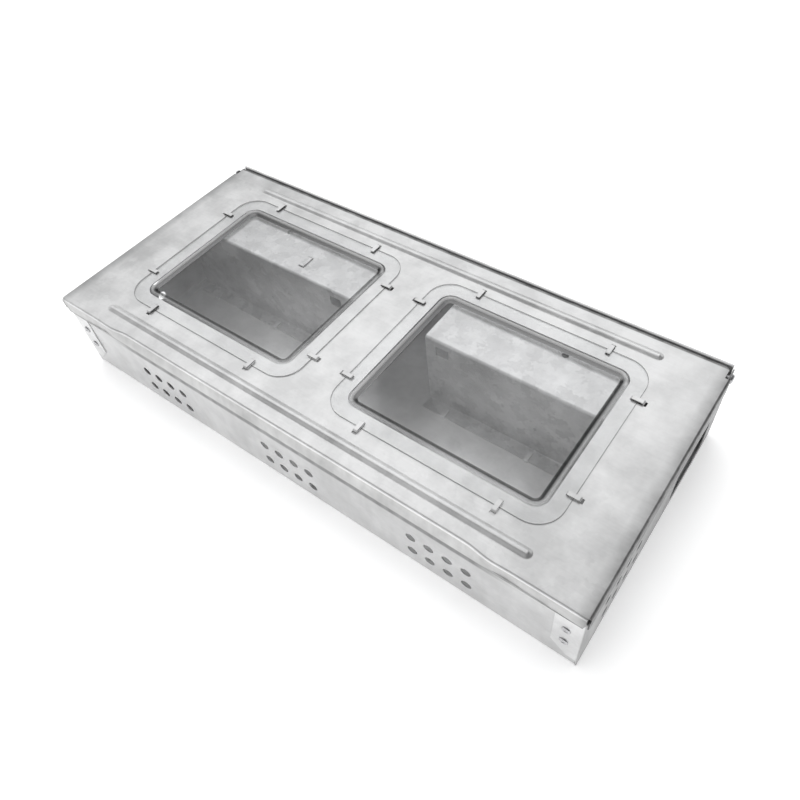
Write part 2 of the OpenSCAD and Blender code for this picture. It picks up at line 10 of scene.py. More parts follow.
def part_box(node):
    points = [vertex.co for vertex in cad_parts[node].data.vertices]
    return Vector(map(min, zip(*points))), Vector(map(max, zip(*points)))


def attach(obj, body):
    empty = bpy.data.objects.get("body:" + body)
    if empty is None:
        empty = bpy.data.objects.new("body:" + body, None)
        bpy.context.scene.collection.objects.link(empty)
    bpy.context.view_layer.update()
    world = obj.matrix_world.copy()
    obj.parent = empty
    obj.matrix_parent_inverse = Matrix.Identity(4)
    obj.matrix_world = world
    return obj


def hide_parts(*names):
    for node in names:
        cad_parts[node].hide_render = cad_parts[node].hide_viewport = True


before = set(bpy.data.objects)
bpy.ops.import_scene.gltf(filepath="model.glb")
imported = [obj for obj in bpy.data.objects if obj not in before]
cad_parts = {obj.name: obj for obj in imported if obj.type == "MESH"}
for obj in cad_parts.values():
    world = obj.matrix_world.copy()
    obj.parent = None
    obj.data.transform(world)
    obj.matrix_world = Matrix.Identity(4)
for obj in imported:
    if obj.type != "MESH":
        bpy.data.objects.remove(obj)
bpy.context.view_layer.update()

bl_info = {
    "name": "Live Catch Trap Builder",
    "version": (1, 0, 0),
    "blender": (4, 5, 0),
    "location": "View3D > Sidebar > Trap",
    "description": "Builds the folded sheet, panes, pins and finishes of a live catch trap",
    "category": "Object",
}

MM = 0.001
SIDES = {"left": -1, "right": 1}
QUARTER = math.pi / 2
ACROSS_BEND = np.linspace(0, 1, 9)


# Sizes read from the frame, in millimetres ------------------------------------------------


def box_of(node):
    """Lowest and highest corner of a node, in millimetres."""
    low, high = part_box(node)
    return np.array(low) / MM, np.array(high) / MM


# Outlines and profiles --------------------------------------------------------------------


def unit(vectors):
    """Each row divided by its own length."""
    return vectors / np.maximum(np.linalg.norm(vectors, axis=-1, keepdims=True), 1e-12)


def rounded(corners, radii, closed=False, steps=8):
    """Points and tangents along a line whose corners are arcs.

    Each corner is cut back by radius times the tangent of half its turn, and the arc swings the
    cut point about the arc's centre, which lies one radius to the inside of the corner."""
    corner = np.asarray(corners, float)
    before, after = np.roll(corner, 1, 0), np.roll(corner, -1, 0)
    ends = corner[[0, -1]]
    if not closed:
        corner, before, after = corner[1:-1], before[1:-1], after[1:-1]
    into, out = unit(corner - before), unit(after - corner)
    turn = np.arctan2(into[:, 0] * out[:, 1] - into[:, 1] * out[:, 0], (into * out).sum(1))
    radius = np.broadcast_to(np.asarray(radii, float), turn.shape)
    first = corner - into * (radius * np.tan(np.abs(turn) / 2))[:, None]
    centre = first + (np.sign(turn) * radius)[:, None] * np.stack([-into[:, 1], into[:, 0]], 1)
    angle = turn[:, None] * np.linspace(0, 1, steps + 1)
    points = centre[:, None] + swing(first - centre, angle)
    tangents = swing(into, angle)
    points, tangents = points.reshape(-1, 2), tangents.reshape(-1, 2)
    if not closed:
        points = np.concatenate([ends[:1], points, ends[1:]])
        tangents = np.concatenate([into[:1], tangents, out[-1:]])
    step = np.linalg.norm(points - np.roll(points, -1, 0), axis=1)
    keep = (step > 1e-4) | (not closed and np.arange(len(points)) == len(points) - 1)
    return points[keep], tangents[keep]


def swing(arm, angle):
    """Each arm turned by its own row of angles: x cos a - y sin a, x sin a + y cos a."""
    x, y = arm[:, None, 0], arm[:, None, 1]
    return np.stack([x * np.cos(angle) - y * np.sin(angle), x * np.sin(angle) + y * np.cos(angle)], -1)


def patch(u0, v0, u1, v1, corner=0.0, steps=4):
    """Rectangle between two opposite corners, with its four corners rounded."""
    return rounded([(u0, v0), (u1, v0), (u1, v1), (u0, v1)], corner, closed=True, steps=steps)[0]


def disc(u, v, radius, count=28):
    """Circle about a centre: centre plus radius times cosine and sine."""
    angle = np.linspace(0, 2 * np.pi, count, endpoint=False)
    return np.stack([u + radius * np.cos(angle), v + radius * np.sin(angle)], 1)


def half_round(u, v, radius, count):
    """Lower half of a circle, from its left end to its right end."""
    angle = np.linspace(math.pi, 2 * math.pi, count)
    return np.stack([u + radius * np.cos(angle), v + radius * np.sin(angle)], 1)


def lattice(us, vs):
    """Every pairing of the values us with the values vs."""
    return np.stack(np.meshgrid(us, vs, indexing="ij"), -1).reshape(-1, 2)


def smooth(x):
    """Smooth step from 0 to 1: 3x squared minus 2x cubed, held flat outside 0 to 1."""
    x = np.clip(x, 0, 1)
    return x * x * (3 - 2 * x)


# Flat patterns ----------------------------------------------------------------------------


def signed_area(loop):
    """Half the sum of x times the next y less the next x times y: positive when anticlockwise."""
    after = np.roll(loop, -1, 0)
    return 0.5 * (loop[:, 0] * after[:, 1] - loop[:, 1] * after[:, 0]).sum()


def cut_at(loop, values, axis):
    """The loop with a point added wherever one of its sides crosses one of the values on axis,
    unless that is within a few hundredths of a millimetre of the side's end."""
    if not len(values):
        return loop
    after = np.roll(loop, -1, 0)
    with np.errstate(divide="ignore", invalid="ignore"):
        share = (np.asarray(values)[None] - loop[:, axis, None]) / (after - loop)[:, axis, None]
        margin = 0.04 / np.linalg.norm(after - loop, axis=1)[:, None]
    side, which = np.nonzero((share > margin) & (share < 1 - margin))
    t = share[side, which]
    added = loop[side] + t[:, None] * (after - loop)[side]
    order = np.argsort(np.concatenate([np.arange(len(loop)), side + t]), kind="stable")
    return np.concatenate([loop, added])[order]


def outward_of(loop):
    """Mitred outward direction at each point, for a loop with its material on the left."""
    along = unit(np.roll(loop, -1, 0) - loop)
    right = np.stack([along[:, 1], -along[:, 0]], 1)
    both = right + np.roll(right, 1, 0)
    return both / np.maximum((both * both).sum(1, keepdims=True) / 2, 0.5)


def inside(points, loops):
    """True where a line from the point along +u crosses the loops an odd number of times."""
    a = np.concatenate(loops)
    b = np.concatenate([np.roll(loop, -1, 0) for loop in loops])
    u, v = points[:, :1], points[:, 1:]
    spans = (a[:, 1] > v) != (b[:, 1] > v)
    with np.errstate(divide="ignore", invalid="ignore"):
        meets = a[:, 0] + (v - a[:, 1]) * (b - a)[:, 0] / (b - a)[:, 1]
    return (spans & (u < meets)).sum(1) % 2 == 1


def clear_of(points, loops, gap):
    """True where the nearest side of any loop is more than gap away."""
    a = np.concatenate(loops)
    side = np.concatenate([np.roll(loop, -1, 0) for loop in loops]) - a
    off = points[:, None] - a[None]
    share = np.clip((off * side).sum(-1) / np.maximum((side * side).sum(-1), 1e-12), 0, 1)
    return (np.linalg.norm(off - share[..., None] * side, axis=-1) > gap).all(1)


def line_links(flat, value, axis, loops):
    """Links between neighbouring points on one straight line of the pattern."""
    on = np.nonzero(np.abs(flat[:, axis] - value) < 1e-5)[0]
    on = on[np.argsort(flat[on, 1 - axis])]
    pair = np.stack([on[:-1], on[1:]], 1)
    return pair[inside(flat[pair].mean(1), loops)] if len(pair) else pair


def sheet(loops, place, thick, edge=0.16, inner=None, rows=(), columns=()):
    """Closed sheet of metal from its flat pattern.

    The pattern is triangulated once, with its bend lines kept as links. place gives the middle
    surface and its normal, and each skin lies half the thickness to one side. Every cut edge is
    a strip whose two corners are quarter rounds: inset by edge, at height half less edge."""
    loops = [cut_at(cut_at(np.asarray(loop, float), rows, 1), columns, 0) for loop in loops]
    loops = [loop if (signed_area(loop) > 0) == (i == 0) else loop[::-1] for i, loop in enumerate(loops)]
    outward = [outward_of(loop) for loop in loops]
    inset = [loop - edge * out for loop, out in zip(loops, outward)]
    flat = np.concatenate(inset)
    if inner is not None and len(inner):
        inner = inner[inside(inner, inset)]
        flat = np.concatenate([flat, inner[clear_of(inner, inset, 0.05)]])
    starts = np.cumsum([0] + [len(loop) for loop in loops])
    ring = [np.arange(a, b) for a, b in zip(starts[:-1], starts[1:])]
    links = [np.stack([r, np.roll(r, -1)], 1) for r in ring]
    links += [line_links(flat, value, 1, inset) for value in rows]
    links += [line_links(flat, value, 0, inset) for value in columns]
    links = np.concatenate([link for link in links if len(link)])
    found = delaunay_2d_cdt(flat.tolist(), links.tolist(), [], 0, 1e-6)
    if len(found[0]) != len(flat):
        raise RuntimeError(f"the flat pattern has {len(flat) - len(found[0])} points too many or too few")
    tris = np.array(found[2])
    a, b, c = (flat[tris[:, k]] for k in range(3))
    area = (b - a)[:, 0] * (c - a)[:, 1] - (b - a)[:, 1] * (c - a)[:, 0]
    tris = np.where(area[:, None] > 0, tris, tris[:, ::-1])[np.abs(area) > 1e-7]
    tris = tris[inside(flat[tris].mean(1), inset)]

    middle, normal = place(flat)
    count, half = len(flat), thick / 2
    points = [middle + half * normal, middle - half * normal]
    normals = [normal, -normal]
    faces = [tris, tris[:, ::-1] + count]
    base = 2 * count
    for loop, out, r in zip(loops, outward, ring):
        rim = [r]
        at = base
        for angle, sign in ((45, 1), (90, 1), (90, -1), (45, -1)):
            turn = math.radians(angle)
            spot = loop - edge * (1 - math.sin(turn)) * out
            where, up = place(spot)
            back = place(spot - 0.01 * unit(out))[0]
            side = unit(where - back)
            points.append(where + sign * (half - edge + edge * math.cos(turn)) * up)
            normals.append(unit(math.cos(turn) * sign * up + math.sin(turn) * side))
            rim.append(np.arange(at, at + len(loop)))
            at += len(loop)
        rim.append(r + count)
        base = at
        faces += [bridge(upper, lower) for upper, lower in zip(rim[:-1], rim[1:])]
    part = {
        "points": np.concatenate(points),
        "faces": np.concatenate(faces),
        "normals": np.concatenate(normals),
    }
    return facing_out(part, len(tris))


def bridge(upper, lower):
    """Triangles between two closed rings of point numbers."""
    next_upper, next_lower = np.roll(upper, -1), np.roll(lower, -1)
    first = np.stack([next_upper, upper, lower], 1)
    return np.concatenate([first, np.stack([next_upper, lower, next_lower], 1)])


def facing_out(part, sample):
    """The part with every face turned over if its faces disagree with its normals."""
    p, f = part["points"], part["faces"][:sample]
    cross = np.cross(p[f[:, 1]] - p[f[:, 0]], p[f[:, 2]] - p[f[:, 0]])
    if (cross * part["normals"][f[:, 0]]).sum() < 0:
        part["faces"] = part["faces"][:, ::-1]
    return part


class Fold:
    """A folded sheet seen from its end: the middle line, its normals and the length along it."""

    def __init__(self, corners, radii, steps=8):
        self.line, tangent = rounded(corners, radii, steps=steps)
        self.normal = np.stack([-tangent[:, 1], tangent[:, 0]], 1)
        self.at = np.concatenate([[0], np.cumsum(np.linalg.norm(np.diff(self.line, axis=0), axis=1))])
        self.rows = self.at[1:-1]
        self.length = self.at[-1]

    def along(self, point):
        """Length along the line of the spot nearest to a point."""
        start, side = self.line[:-1], np.diff(self.line, axis=0)
        share = np.clip(((point - start) * side).sum(1) / (side * side).sum(1), 0, 1)
        gap = np.linalg.norm(start + share[:, None] * side - point, axis=1)
        best = gap.argmin()
        return self.at[best] + share[best] * np.diff(self.at)[best]

    def placed(self, axes):
        """Function that puts (straight, length) on the sheet. axes are the three coordinate
        numbers of the straight direction and of the two directions of the line."""

        def place(flat):
            length = np.clip(flat[:, 1], 0, self.length)
            over = flat[:, 1] - length
            spot = [np.interp(length, self.at, self.line[:, k]) for k in (0, 1)]
            up = unit(np.stack([np.interp(length, self.at, self.normal[:, k]) for k in (0, 1)], 1))
            middle, normal = np.zeros((len(flat), 3)), np.zeros((len(flat), 3))
            middle[:, axes[0]] = flat[:, 0]
            middle[:, axes[1]] = spot[0] + over * up[:, 1]
            middle[:, axes[2]] = spot[1] - over * up[:, 0]
            normal[:, axes[1]] = up[:, 0]
            normal[:, axes[2]] = up[:, 1]
            return middle, normal

        return place


def folded(fold, loops, axes, thick, spacing=12.0, **more):
    """Sheet that follows a fold, with points every spacing along each bend line."""
    low, high = loops[0][:, 0].min(), loops[0][:, 0].max()
    stations = np.linspace(low, high, max(3, int((high - low) / spacing)))[1:-1]
    inner = lattice(stations, fold.rows)
    return sheet(loops, fold.placed(axes), thick, inner=inner, rows=fold.rows, **more)


def strap(s, fold, ends, axes, corner=0.5, spacing=12.0):
    """Plain strip that follows a fold, from one straight coordinate to another."""
    outline = patch(ends[0], 0, ends[1], fold.length, corner)
    return folded(fold, [outline], axes, s["sheet"], spacing, edge=s["cut_edge"])


def plate(loops, axis, middle, thick, **more):
    """Flat sheet square to one axis, whose middle lies at that coordinate."""
    others = [k for k in range(3) if k != axis]

    def place(flat):
        points, normals = np.zeros((len(flat), 3)), np.zeros((len(flat), 3))
        points[:, others] = flat
        points[:, axis] = middle
        normals[:, axis] = 1
        return points, normals

    return sheet(loops, place, thick, **more)


# Swept and turned solids ------------------------------------------------------------------


def swept(corners, radii, ring, steps=5):
    """Closed skin made of rings. The profile runs from the low centre out and back to the high
    centre, and ring gives, for each distance from the centre, a loop and its outward direction.
    The normal of a profile that travels (dr, dz) is (dz, -dr)."""
    line, tangent = rounded(corners, radii, steps=steps)
    inner, slope = line[1:-1], tangent[1:-1]
    loop, out = ring(inner[:, 0])
    rings, count = loop.shape[:2]
    height = np.broadcast_to(inner[:, 1, None, None], (rings, count, 1))
    points = np.concatenate([loop, height], -1).reshape(-1, 3)
    lean = out * slope[:, 1, None, None]
    rise = np.broadcast_to(-slope[:, 0, None, None], (rings, count, 1))
    normals = unit(np.concatenate([lean, rise], -1)).reshape(-1, 3)
    poles = np.array([[0, 0, line[0, 1]], [0, 0, line[-1, 1]]])
    number = np.arange(rings * count).reshape(rings, count)
    faces = [bridge(number[i + 1], number[i]) for i in range(rings - 1)]
    low, high = rings * count, rings * count + 1
    first, last = number[0], number[-1]
    faces.append(np.stack([np.roll(first, -1), first, np.full(count, low)], 1))
    faces.append(np.stack([last, np.roll(last, -1), np.full(count, high)], 1))
    return {
        "points": np.concatenate([points, poles]),
        "faces": np.concatenate(faces),
        "normals": np.concatenate([normals, [[0, 0, -1], [0, 0, 1]]]),
    }


def round_ring(count):
    """Rings for a turned piece: the distance times cosine and sine of the angle."""

    def ring(distance):
        angle = np.linspace(0, 2 * np.pi, count, endpoint=False)
        out = np.stack([np.cos(angle), np.sin(angle)], -1)[None]
        return distance[:, None, None] * out, np.broadcast_to(out, (len(distance), count, 2))

    return ring


def mirrored(part, side):
    """The part as it is for side +1, and mirrored through the middle of the trap for -1."""
    if side > 0:
        return part
    flipped = moved(part, np.diag([-1, 1, 1]), (0, 0, 0))
    flipped["faces"] = part["faces"][:, ::-1]
    return flipped


def moved(part, turn, shift):
    """The part turned by a 3x3 matrix and then shifted."""
    turn = np.asarray(turn, float)
    return {
        "points": part["points"] @ turn.T + np.asarray(shift, float),
        "faces": part["faces"],
        "normals": part["normals"] @ turn.T,
    }


def turned_to(part, centre, axis, sign):
    """A part whose own Z axis is laid along one axis, in the direction of sign, at a centre."""
    turns = [[[0, 0, sign], [0, 1, 0], [-sign, 0, 0]], [[1, 0, 0], [0, 0, sign], [0, -sign, 0]]]
    return moved(part, turns[axis], centre)


def joined(parts):
    """Several parts as one, with their point numbers shifted."""
    counts = np.cumsum([0] + [len(p["points"]) for p in parts[:-1]])
    return {
        "points": np.concatenate([p["points"] for p in parts]),
        "faces": np.concatenate([p["faces"] + n for p, n in zip(parts, counts)]),
        "normals": np.concatenate([p["normals"] for p in parts]),
    }


def make_piece(name, part, material, body, stands_for):
    """Puts a part into a mesh, in metres, with its own normals, and hangs it on its body."""
    mesh = bpy.data.meshes.new(name)
    mesh.from_pydata((part["points"] * MM).tolist(), [], part["faces"].tolist())
    mesh.polygons.foreach_set("use_smooth", np.ones(len(mesh.polygons), bool))
    mesh.materials.append(material)
    mesh.update()
    mesh.normals_split_custom_set_from_vertices(unit(part["normals"]).tolist())
    piece = bpy.data.objects.new(name, mesh)
    bpy.context.scene.collection.objects.link(piece)
    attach(piece, body)
    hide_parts(*stands_for)
    return piece


# Settings ---------------------------------------------------------------------------------


def length(name, value, text):
    """A length setting: value is in millimetres and is stored in metres."""
    return FloatProperty(
        name=name, description=text, default=value * MM, min=0, unit="LENGTH", precision=5)


def share(name, value, text):
    """A setting from 0 to 1."""
    return FloatProperty(name=name, description=text, default=value, min=0, max=1, subtype="FACTOR")


def colour(name, value, text):
    """A colour setting: red, green and blue."""
    return FloatVectorProperty(
        name=name, description=text, default=value, size=3, min=0, max=1, subtype="COLOR")


class TrapSizes(bpy.types.PropertyGroup):
    """Lengths of the sheet work that a user would change."""

    sheet: length("Sheet", 0.8, "Thickness of the sheet")
    cut_edge: length("Cut edge", 0.16, "Rounding of every cut edge")
    fold: length("Fold", 1.2, "Middle radius of a plain fold")
    tray_fold: length("Tray fold", 1.8, "Middle radius of the folds along the floor")
    lip_reach: length("Lip reach", 3.6, "How far the lid's lip leans out")
    lip_setback: length("Lip setback", 1.5, "How far the fold above the lip is set back")
    lip_bulge: length("Lip bulge", 0.7, "How far the fold swells where the lip begins")
    lip_length: length("Lip length", 282, "Length of the full lip")
    lip_blend: length("Lip blend", 24, "Length of the curve at each end of the lip")
    flange: length("Flange", 12.2, "Height of the lid's flanges")
    rib_length: length("Rib length", 341, "Length of a pressed rib")
    rib_width: length("Rib width", 7.2, "Width of a pressed rib with its fillets")
    rib_height: length("Rib height", 1.6, "Height of a pressed rib")
    vent: length("Air hole", 7, "Diameter of an air hole")
    vent_pitch: length("Air hole pitch", 12.8, "Distance between air holes in a row")
    vent_low: length("Lower air holes", 15, "Height of the lower row of air holes")
    vent_rise: length("Air hole rows", 16.2, "Distance between the two rows")
    vent_groups: length("Air hole groups", 118, "Distance between groups on the front wall")
    tab_length: length("Tab length", 8.4, "Length of a pane tab")
    tab_width: length("Tab width", 3, "Width of a pane tab")
    pane: length("Pane", 0.8, "Thickness of a pane")
    side_dip: length("Side dip", 0.5, "How far the lid's ends droop at their folds")
    side_dip_width: length("Side dip width", 11, "Width over which the lid's ends droop")
    pane_flange: length("Pane flange", 10, "Width of the pane's flange on the lid")
    dish: length("Dish depth", 2.3, "Depth of the pane's dish")
    dish_lean: length("Dish lean", 4.4, "How far the dish wall leans in")


class TrapFinish(bpy.types.PropertyGroup):
    """Colours and gloss of the finishes."""

    lid: colour("Lid", (0.875, 0.875, 0.87), "Colour of the lid's sheet")
    body: colour("Tray", (0.80, 0.80, 0.80), "Colour of the tray and end walls")
    tunnel: colour("Tunnels", (0.84, 0.84, 0.84), "Colour of the tunnel covers")
    treadle: colour("Treadles", (0.66, 0.665, 0.67), "Colour of the treadles")
    pin: colour("Pins", (0.55, 0.55, 0.56), "Colour of pins and rivets")
    pane: colour("Panes", (0.985, 0.986, 0.986), "Tint of the clear panes")
    gloss: share("Roughness", 0.34, "Roughness of the bright sheet")


class TrapStage(bpy.types.PropertyGroup):
    """Floor, camera and light."""

    floor: colour("Floor", (0.97, 0.97, 0.97), "Colour of the floor")
    lens: FloatProperty(
        name="Lens", description="Focal length in millimetres on a 36 mm sensor", default=31.94, min=1)
    roll: FloatProperty(
        name="Roll", description="Turn of the camera about its line of sight",
        default=math.radians(-6.818), subtype="ANGLE")
    place: FloatVectorProperty(
        name="Place", description="Where the camera stands", default=(0.2370, -0.2304, 0.4043),
        size=3, subtype="TRANSLATION", unit="LENGTH")
    target: FloatVectorProperty(
        name="Target", description="Point that the camera looks at", default=(0.03747, -0.00447, 0.0385),
        size=3, subtype="TRANSLATION", unit="LENGTH")


def sizes():
    """Every length setting, in millimetres, by name."""
    settings = bpy.context.scene.trap_sizes
    return {name: getattr(settings, name) / MM for name in TrapSizes.__annotations__}


# Lid --------------------------------------------------------------------------------------


class LidShape:
    """The lid's sheet as one formula of two lengths: u along the trap and v across it, both
    carried on over the folds as lengths of flat sheet."""

    RIB_INSET = 14
    SETBACK_WIDTH = 8
    WINDOW_CORNER = 9
    TAB_SPREAD = 0.69
    SLOT_CORNER = 0.4
    EAR_RADIUS, EAR_BORE, EAR_GAP = 4.4, 1.56, 1.5

    def __init__(self, s):
        low, high = box_of("lid_panel")
        pane_low, self.pane_high = box_of("right_window_pane")
        self.s = s
        self.half = s["sheet"] / 2
        self.x = high[0]
        self.top = self.pane_high[2] - s["pane"] - self.half
        self.front = low[1] + s["lip_reach"] - 1
        self.rear = high[1]
        self.fold = s["fold"]
        self.drop = s["flange"] - self.half
        self.side_line = self.x - self.half - self.fold
        self.front_line = self.front + self.half + self.fold
        self.arc = self.fold * QUARTER
        self.front_rows = self.front_line - self.arc * ACROSS_BEND
        self.side_columns = self.side_line + self.arc * ACROSS_BEND
        self.straight = self.drop - self.fold
        self.ribs = [self.front + self.RIB_INSET, self.rear - self.RIB_INSET]
        self.window = (pane_low + self.pane_high) / 2
        self.pane_half = (self.pane_high - pane_low)[:2] / 2

    def lip(self, u):
        """Share of the full lip: 1 in the middle, falling smoothly to 0 over the blend."""
        return 1 - smooth((np.abs(u) - self.s["lip_length"] / 2 + 4) / self.s["lip_blend"])

    def front_shift(self, u):
        """How far the fold lies behind the lid's corners: the setback times the lip's share, less
        a bell of the bulge's height centred on the blend."""
        middle = self.s["lip_length"] / 2 + self.s["lip_blend"] / 2 - 2
        bell = np.exp(-(((np.abs(u) - middle) / (self.s["lip_blend"] * 0.36)) ** 2))
        return self.s["lip_setback"] * self.lip(u) - self.s["lip_bulge"] * bell

    def rib(self, u, v):
        """Height of both ribs: a smooth step of the distance to each rib's centre line."""
        reach = self.s["rib_length"] / 2 - self.s["rib_width"] / 2
        along = np.maximum(np.abs(u) - reach, 0)
        height = np.zeros_like(u)
        for y in self.ribs:
            distance = np.hypot(along, v - y) / (self.s["rib_width"] / 2)
            height += self.s["rib_height"] * (1 - smooth((distance - 0.12) / 0.88))
        return height

    def point(self, flat):
        """The middle surface. Past the side line the sheet turns down through a quarter circle;
        past the front line it turns through a quarter circle less the lip's lean. Near its ends
        the panel droops by the square of the distance."""
        u, v = flat.T
        over = np.maximum(np.abs(u) - self.side_line, 0)
        turn = np.minimum(over, self.arc) / self.fold
        x = np.sign(u) * (np.minimum(np.abs(u), self.side_line) + self.fold * np.sin(turn))
        z = -self.fold * (1 - np.cos(turn)) - np.maximum(over - self.arc, 0)
        flat_part = over <= 0
        lip = self.lip(u)
        lean = QUARTER - np.arctan2(self.s["lip_reach"] * lip, self.s["flange"])
        beyond = np.where(flat_part, np.maximum(self.front_line - v, 0), 0)
        swing_by = np.minimum(beyond / self.arc, 1) * lean
        down = -self.fold * (1 - np.cos(swing_by))
        run = np.maximum(beyond - self.arc, 0) / self.straight
        run = run * (self.drop + down) / np.sin(np.maximum(lean, 0.1))
        near = 1 - smooth((v - self.front_line) / self.SETBACK_WIDTH)
        y = np.where(flat_part, np.maximum(v, self.front_line) + near * self.front_shift(u), v)
        y = y - self.fold * np.sin(swing_by) - run * np.cos(lean)
        droop = np.maximum(np.abs(x) - self.x + self.s["side_dip_width"], 0) / self.s["side_dip_width"]
        z = z + down - run * np.sin(lean) + self.rib(u, v) - self.s["side_dip"] * droop**2
        return np.stack([x, y, z + self.top], 1)

    def place(self, flat):
        """The middle surface and its normal, the cross product of two small steps."""
        step = 0.002
        du, dv = np.array([step, 0]), np.array([0, step])
        along = self.point(flat + du) - self.point(flat - du)
        across = self.point(flat + dv) - self.point(flat - dv)
        return self.point(flat), unit(np.cross(along, across))

    def outline(self):
        """Flat outline: front flange, two side flanges and the rear edge between its notches."""
        ear = box_of("right_end_wall")[1][0] - self.s["sheet"] - self.EAR_GAP
        notch = self.rear - 9
        edge = self.side_line + self.arc + self.straight
        wrap = self.side_line + self.arc + 0.2
        foot = self.front_line - self.arc - self.straight
        line = self.side_line - 0.05
        half = [
            ((line - 1.2, foot), 0.6), ((line, foot + 5), 0), ((line, self.front_line), 0.15),
            ((wrap, self.front_line), 0.15), ((wrap + 0.3, self.front + 0.15), 0.2),
            ((edge - 2.6, self.front + 0.15), 0.8), ((edge, self.front + 2.6), 0.8),
            ((edge, notch), 1.5), ((ear, notch), 0.3), ((ear, self.rear), 3.0)]
        points = [p for p, _ in half] + [(-p[0], p[1]) for p, _ in half[::-1]]
        radii = [r for _, r in half] + [r for _, r in half[::-1]]
        return rounded(points, radii, closed=True, steps=5)[0]

    def windows(self):
        """The two window openings."""
        half = self.pane_half - self.s["pane_flange"]
        return [
            patch(c - half[0], -half[1], c + half[0], half[1], self.WINDOW_CORNER, steps=8)
            for c in (-self.window[0], self.window[0])]

    def tab_places(self):
        """Middle and direction of each pane tab: two on each side of each pane."""
        spread = (self.pane_half - self.s["pane_flange"]) * self.TAB_SPREAD
        places = []
        for c in (-self.window[0], self.window[0]):
            for k in (-1, 1):
                places += [((c + k * spread[0], s * self.pane_half[1]), (0, -s)) for s in (-1, 1)]
                places += [((c + s * self.pane_half[0], k * spread[1]), (-s, 0)) for s in (-1, 1)]
        return places

    def cut(self, middle, towards, start, end, width):
        """Rounded rectangle on a tab's line, from one distance along it to another."""
        along = np.array(towards, float)
        across = np.array([-along[1], along[0]]) * width
        near, far = (np.array(middle) + along * k for k in (start, end))
        corners = [near - across, far - across, far + across, near + across]
        return rounded(corners, self.SLOT_CORNER, closed=True, steps=3)[0]

    def slot(self, middle, towards):
        """Slot that a tab leaves in the sheet: from its root to its free end."""
        half = self.s["tab_length"] / 2
        return self.cut(middle, towards, self.s["sheet"] - half, half + 0.4, self.s["tab_width"] / 2)

    def relief(self, middle, towards):
        """Small cut behind a tab's root, which lets it bend cleanly."""
        root = 0.15 - self.s["tab_length"] / 2
        return self.cut(middle, towards, root - 1.25, root, self.s["tab_width"] * 0.56)

    def tab(self, middle, towards):
        """One pane tab: a narrow strip lanced up from the lid and folded flat over the pane."""
        half, thick = self.s["tab_length"] / 2, self.s["sheet"]
        lift = box_of("lid_panel")[1][2] - thick / 2
        fold = Fold(
            [(thick / 2 - half, self.top - 0.3), (thick / 2 - half, lift), (half - 0.6, lift - 0.06),
                (half, lift - 0.3)], [0.75, 0.8], steps=6)
        width = self.s["tab_width"] / 2
        strip = strap(self.s, fold, (-width, width), (0, 1, 2))
        turn = [[towards[1], towards[0], 0], [-towards[0], towards[1], 0], [0, 0, 1]]
        return moved(strip, turn, (middle[0], middle[1], 0))

    def ear(self):
        """Hinge ear: a plate with a round end about the hinge pin's bore."""
        _, y, z = sum(box_of("right_hinge_pin")) / 2
        radius, thick = self.EAR_RADIUS, self.s["sheet"]
        end = box_of("right_end_wall")[1][0] - thick - self.EAR_GAP - thick / 2
        top = self.top + 0.1
        shoulder = [(y + radius, z + 1.2), (self.rear - 0.3, top), (y - radius - 1.5, top)]
        loops = [np.concatenate([half_round(y, z, radius, 25), shoulder]), disc(y, z, self.EAR_BORE, 24)]
        plates = [plate(loops, 0, side * end, thick, edge=self.s["cut_edge"]) for side in (-1, 1)]
        return joined(plates)

    def inner_points(self):
        """Points inside the outline wherever the sheet isn't flat."""
        lip_end = self.s["lip_length"] / 2 + self.s["lip_blend"]
        curve = np.linspace(self.s["lip_length"] / 2 - 12, lip_end + 6, 22)
        middle, beyond = np.linspace(-125, 125, 26), np.array([182, 196])
        stations = np.concatenate([-curve[::-1], middle, curve, beyond, -beyond])
        front = np.concatenate([
            self.front_rows,
            self.front_line - self.arc - self.straight * np.array([0.33, 0.66]),
            self.front_line + self.SETBACK_WIDTH * np.array([0.12, 0.3, 0.5, 0.7, 0.88, 1.0])])
        grids = [lattice(stations, front)]
        down = np.linspace(self.front_line + 3, self.rear - 12, 16)
        grids += [lattice(self.side_columns, down), lattice(-self.side_columns, down)]
        reach = self.s["rib_length"] / 2
        ends = np.linspace(reach - self.s["rib_width"] / 2 - 1, reach + 0.4, 16)
        length = np.concatenate([-ends[::-1], np.linspace(-reach + 7, reach - 7, 150), ends])
        for y in self.ribs:
            grids.append(lattice(length, y + self.s["rib_width"] / 2 * np.linspace(-1.04, 1.04, 19)))
        return np.concatenate(grids)

    def build(self):
        """The panel with its windows and slots, then the ears and the tabs."""
        places = self.tab_places()
        loops = [self.outline()] + self.windows()
        loops += [self.slot(*spot) for spot in places] + [self.relief(*spot) for spot in places]
        panel = sheet(
            loops, self.place, self.s["sheet"], edge=self.s["cut_edge"], inner=self.inner_points(),
            rows=self.front_rows, columns=np.concatenate([self.side_columns, -self.side_columns]))
        return joined([panel, self.ear()] + [self.tab(*spot) for spot in places])


# Panes ------------------------------------------------------------------------------------


def pane_ring(half, flange_corner, opening_corner, flange, arc=10):
    """Rings for a pane: rounded rectangles whose corner radius shrinks steadily over the flange
    and then by as much as the ring does. Distance is measured from the middle to the front."""
    signs = np.repeat(np.array([(1, 1), (-1, 1), (-1, -1), (1, -1)], float), arc + 1, axis=0)
    angle = (np.linspace(0, QUARTER, arc + 1)[None] + QUARTER * np.arange(4)[:, None]).ravel()
    out = np.stack([np.cos(angle), np.sin(angle)], 1)

    def ring(distance):
        inset = (half[1] - distance)[:, None]
        slope = (flange_corner - opening_corner) / flange
        beyond = opening_corner - (inset - flange)
        radius = np.where(inset < flange, flange_corner - inset * slope, beyond)
        radius = np.maximum(radius, np.minimum(2.5, half[1] - inset))[:, :, None]
        centre = signs[None] * (half - inset[:, :, None] - radius)
        return centre + radius * out, np.broadcast_to(out, (len(distance), len(out), 2))

    return ring


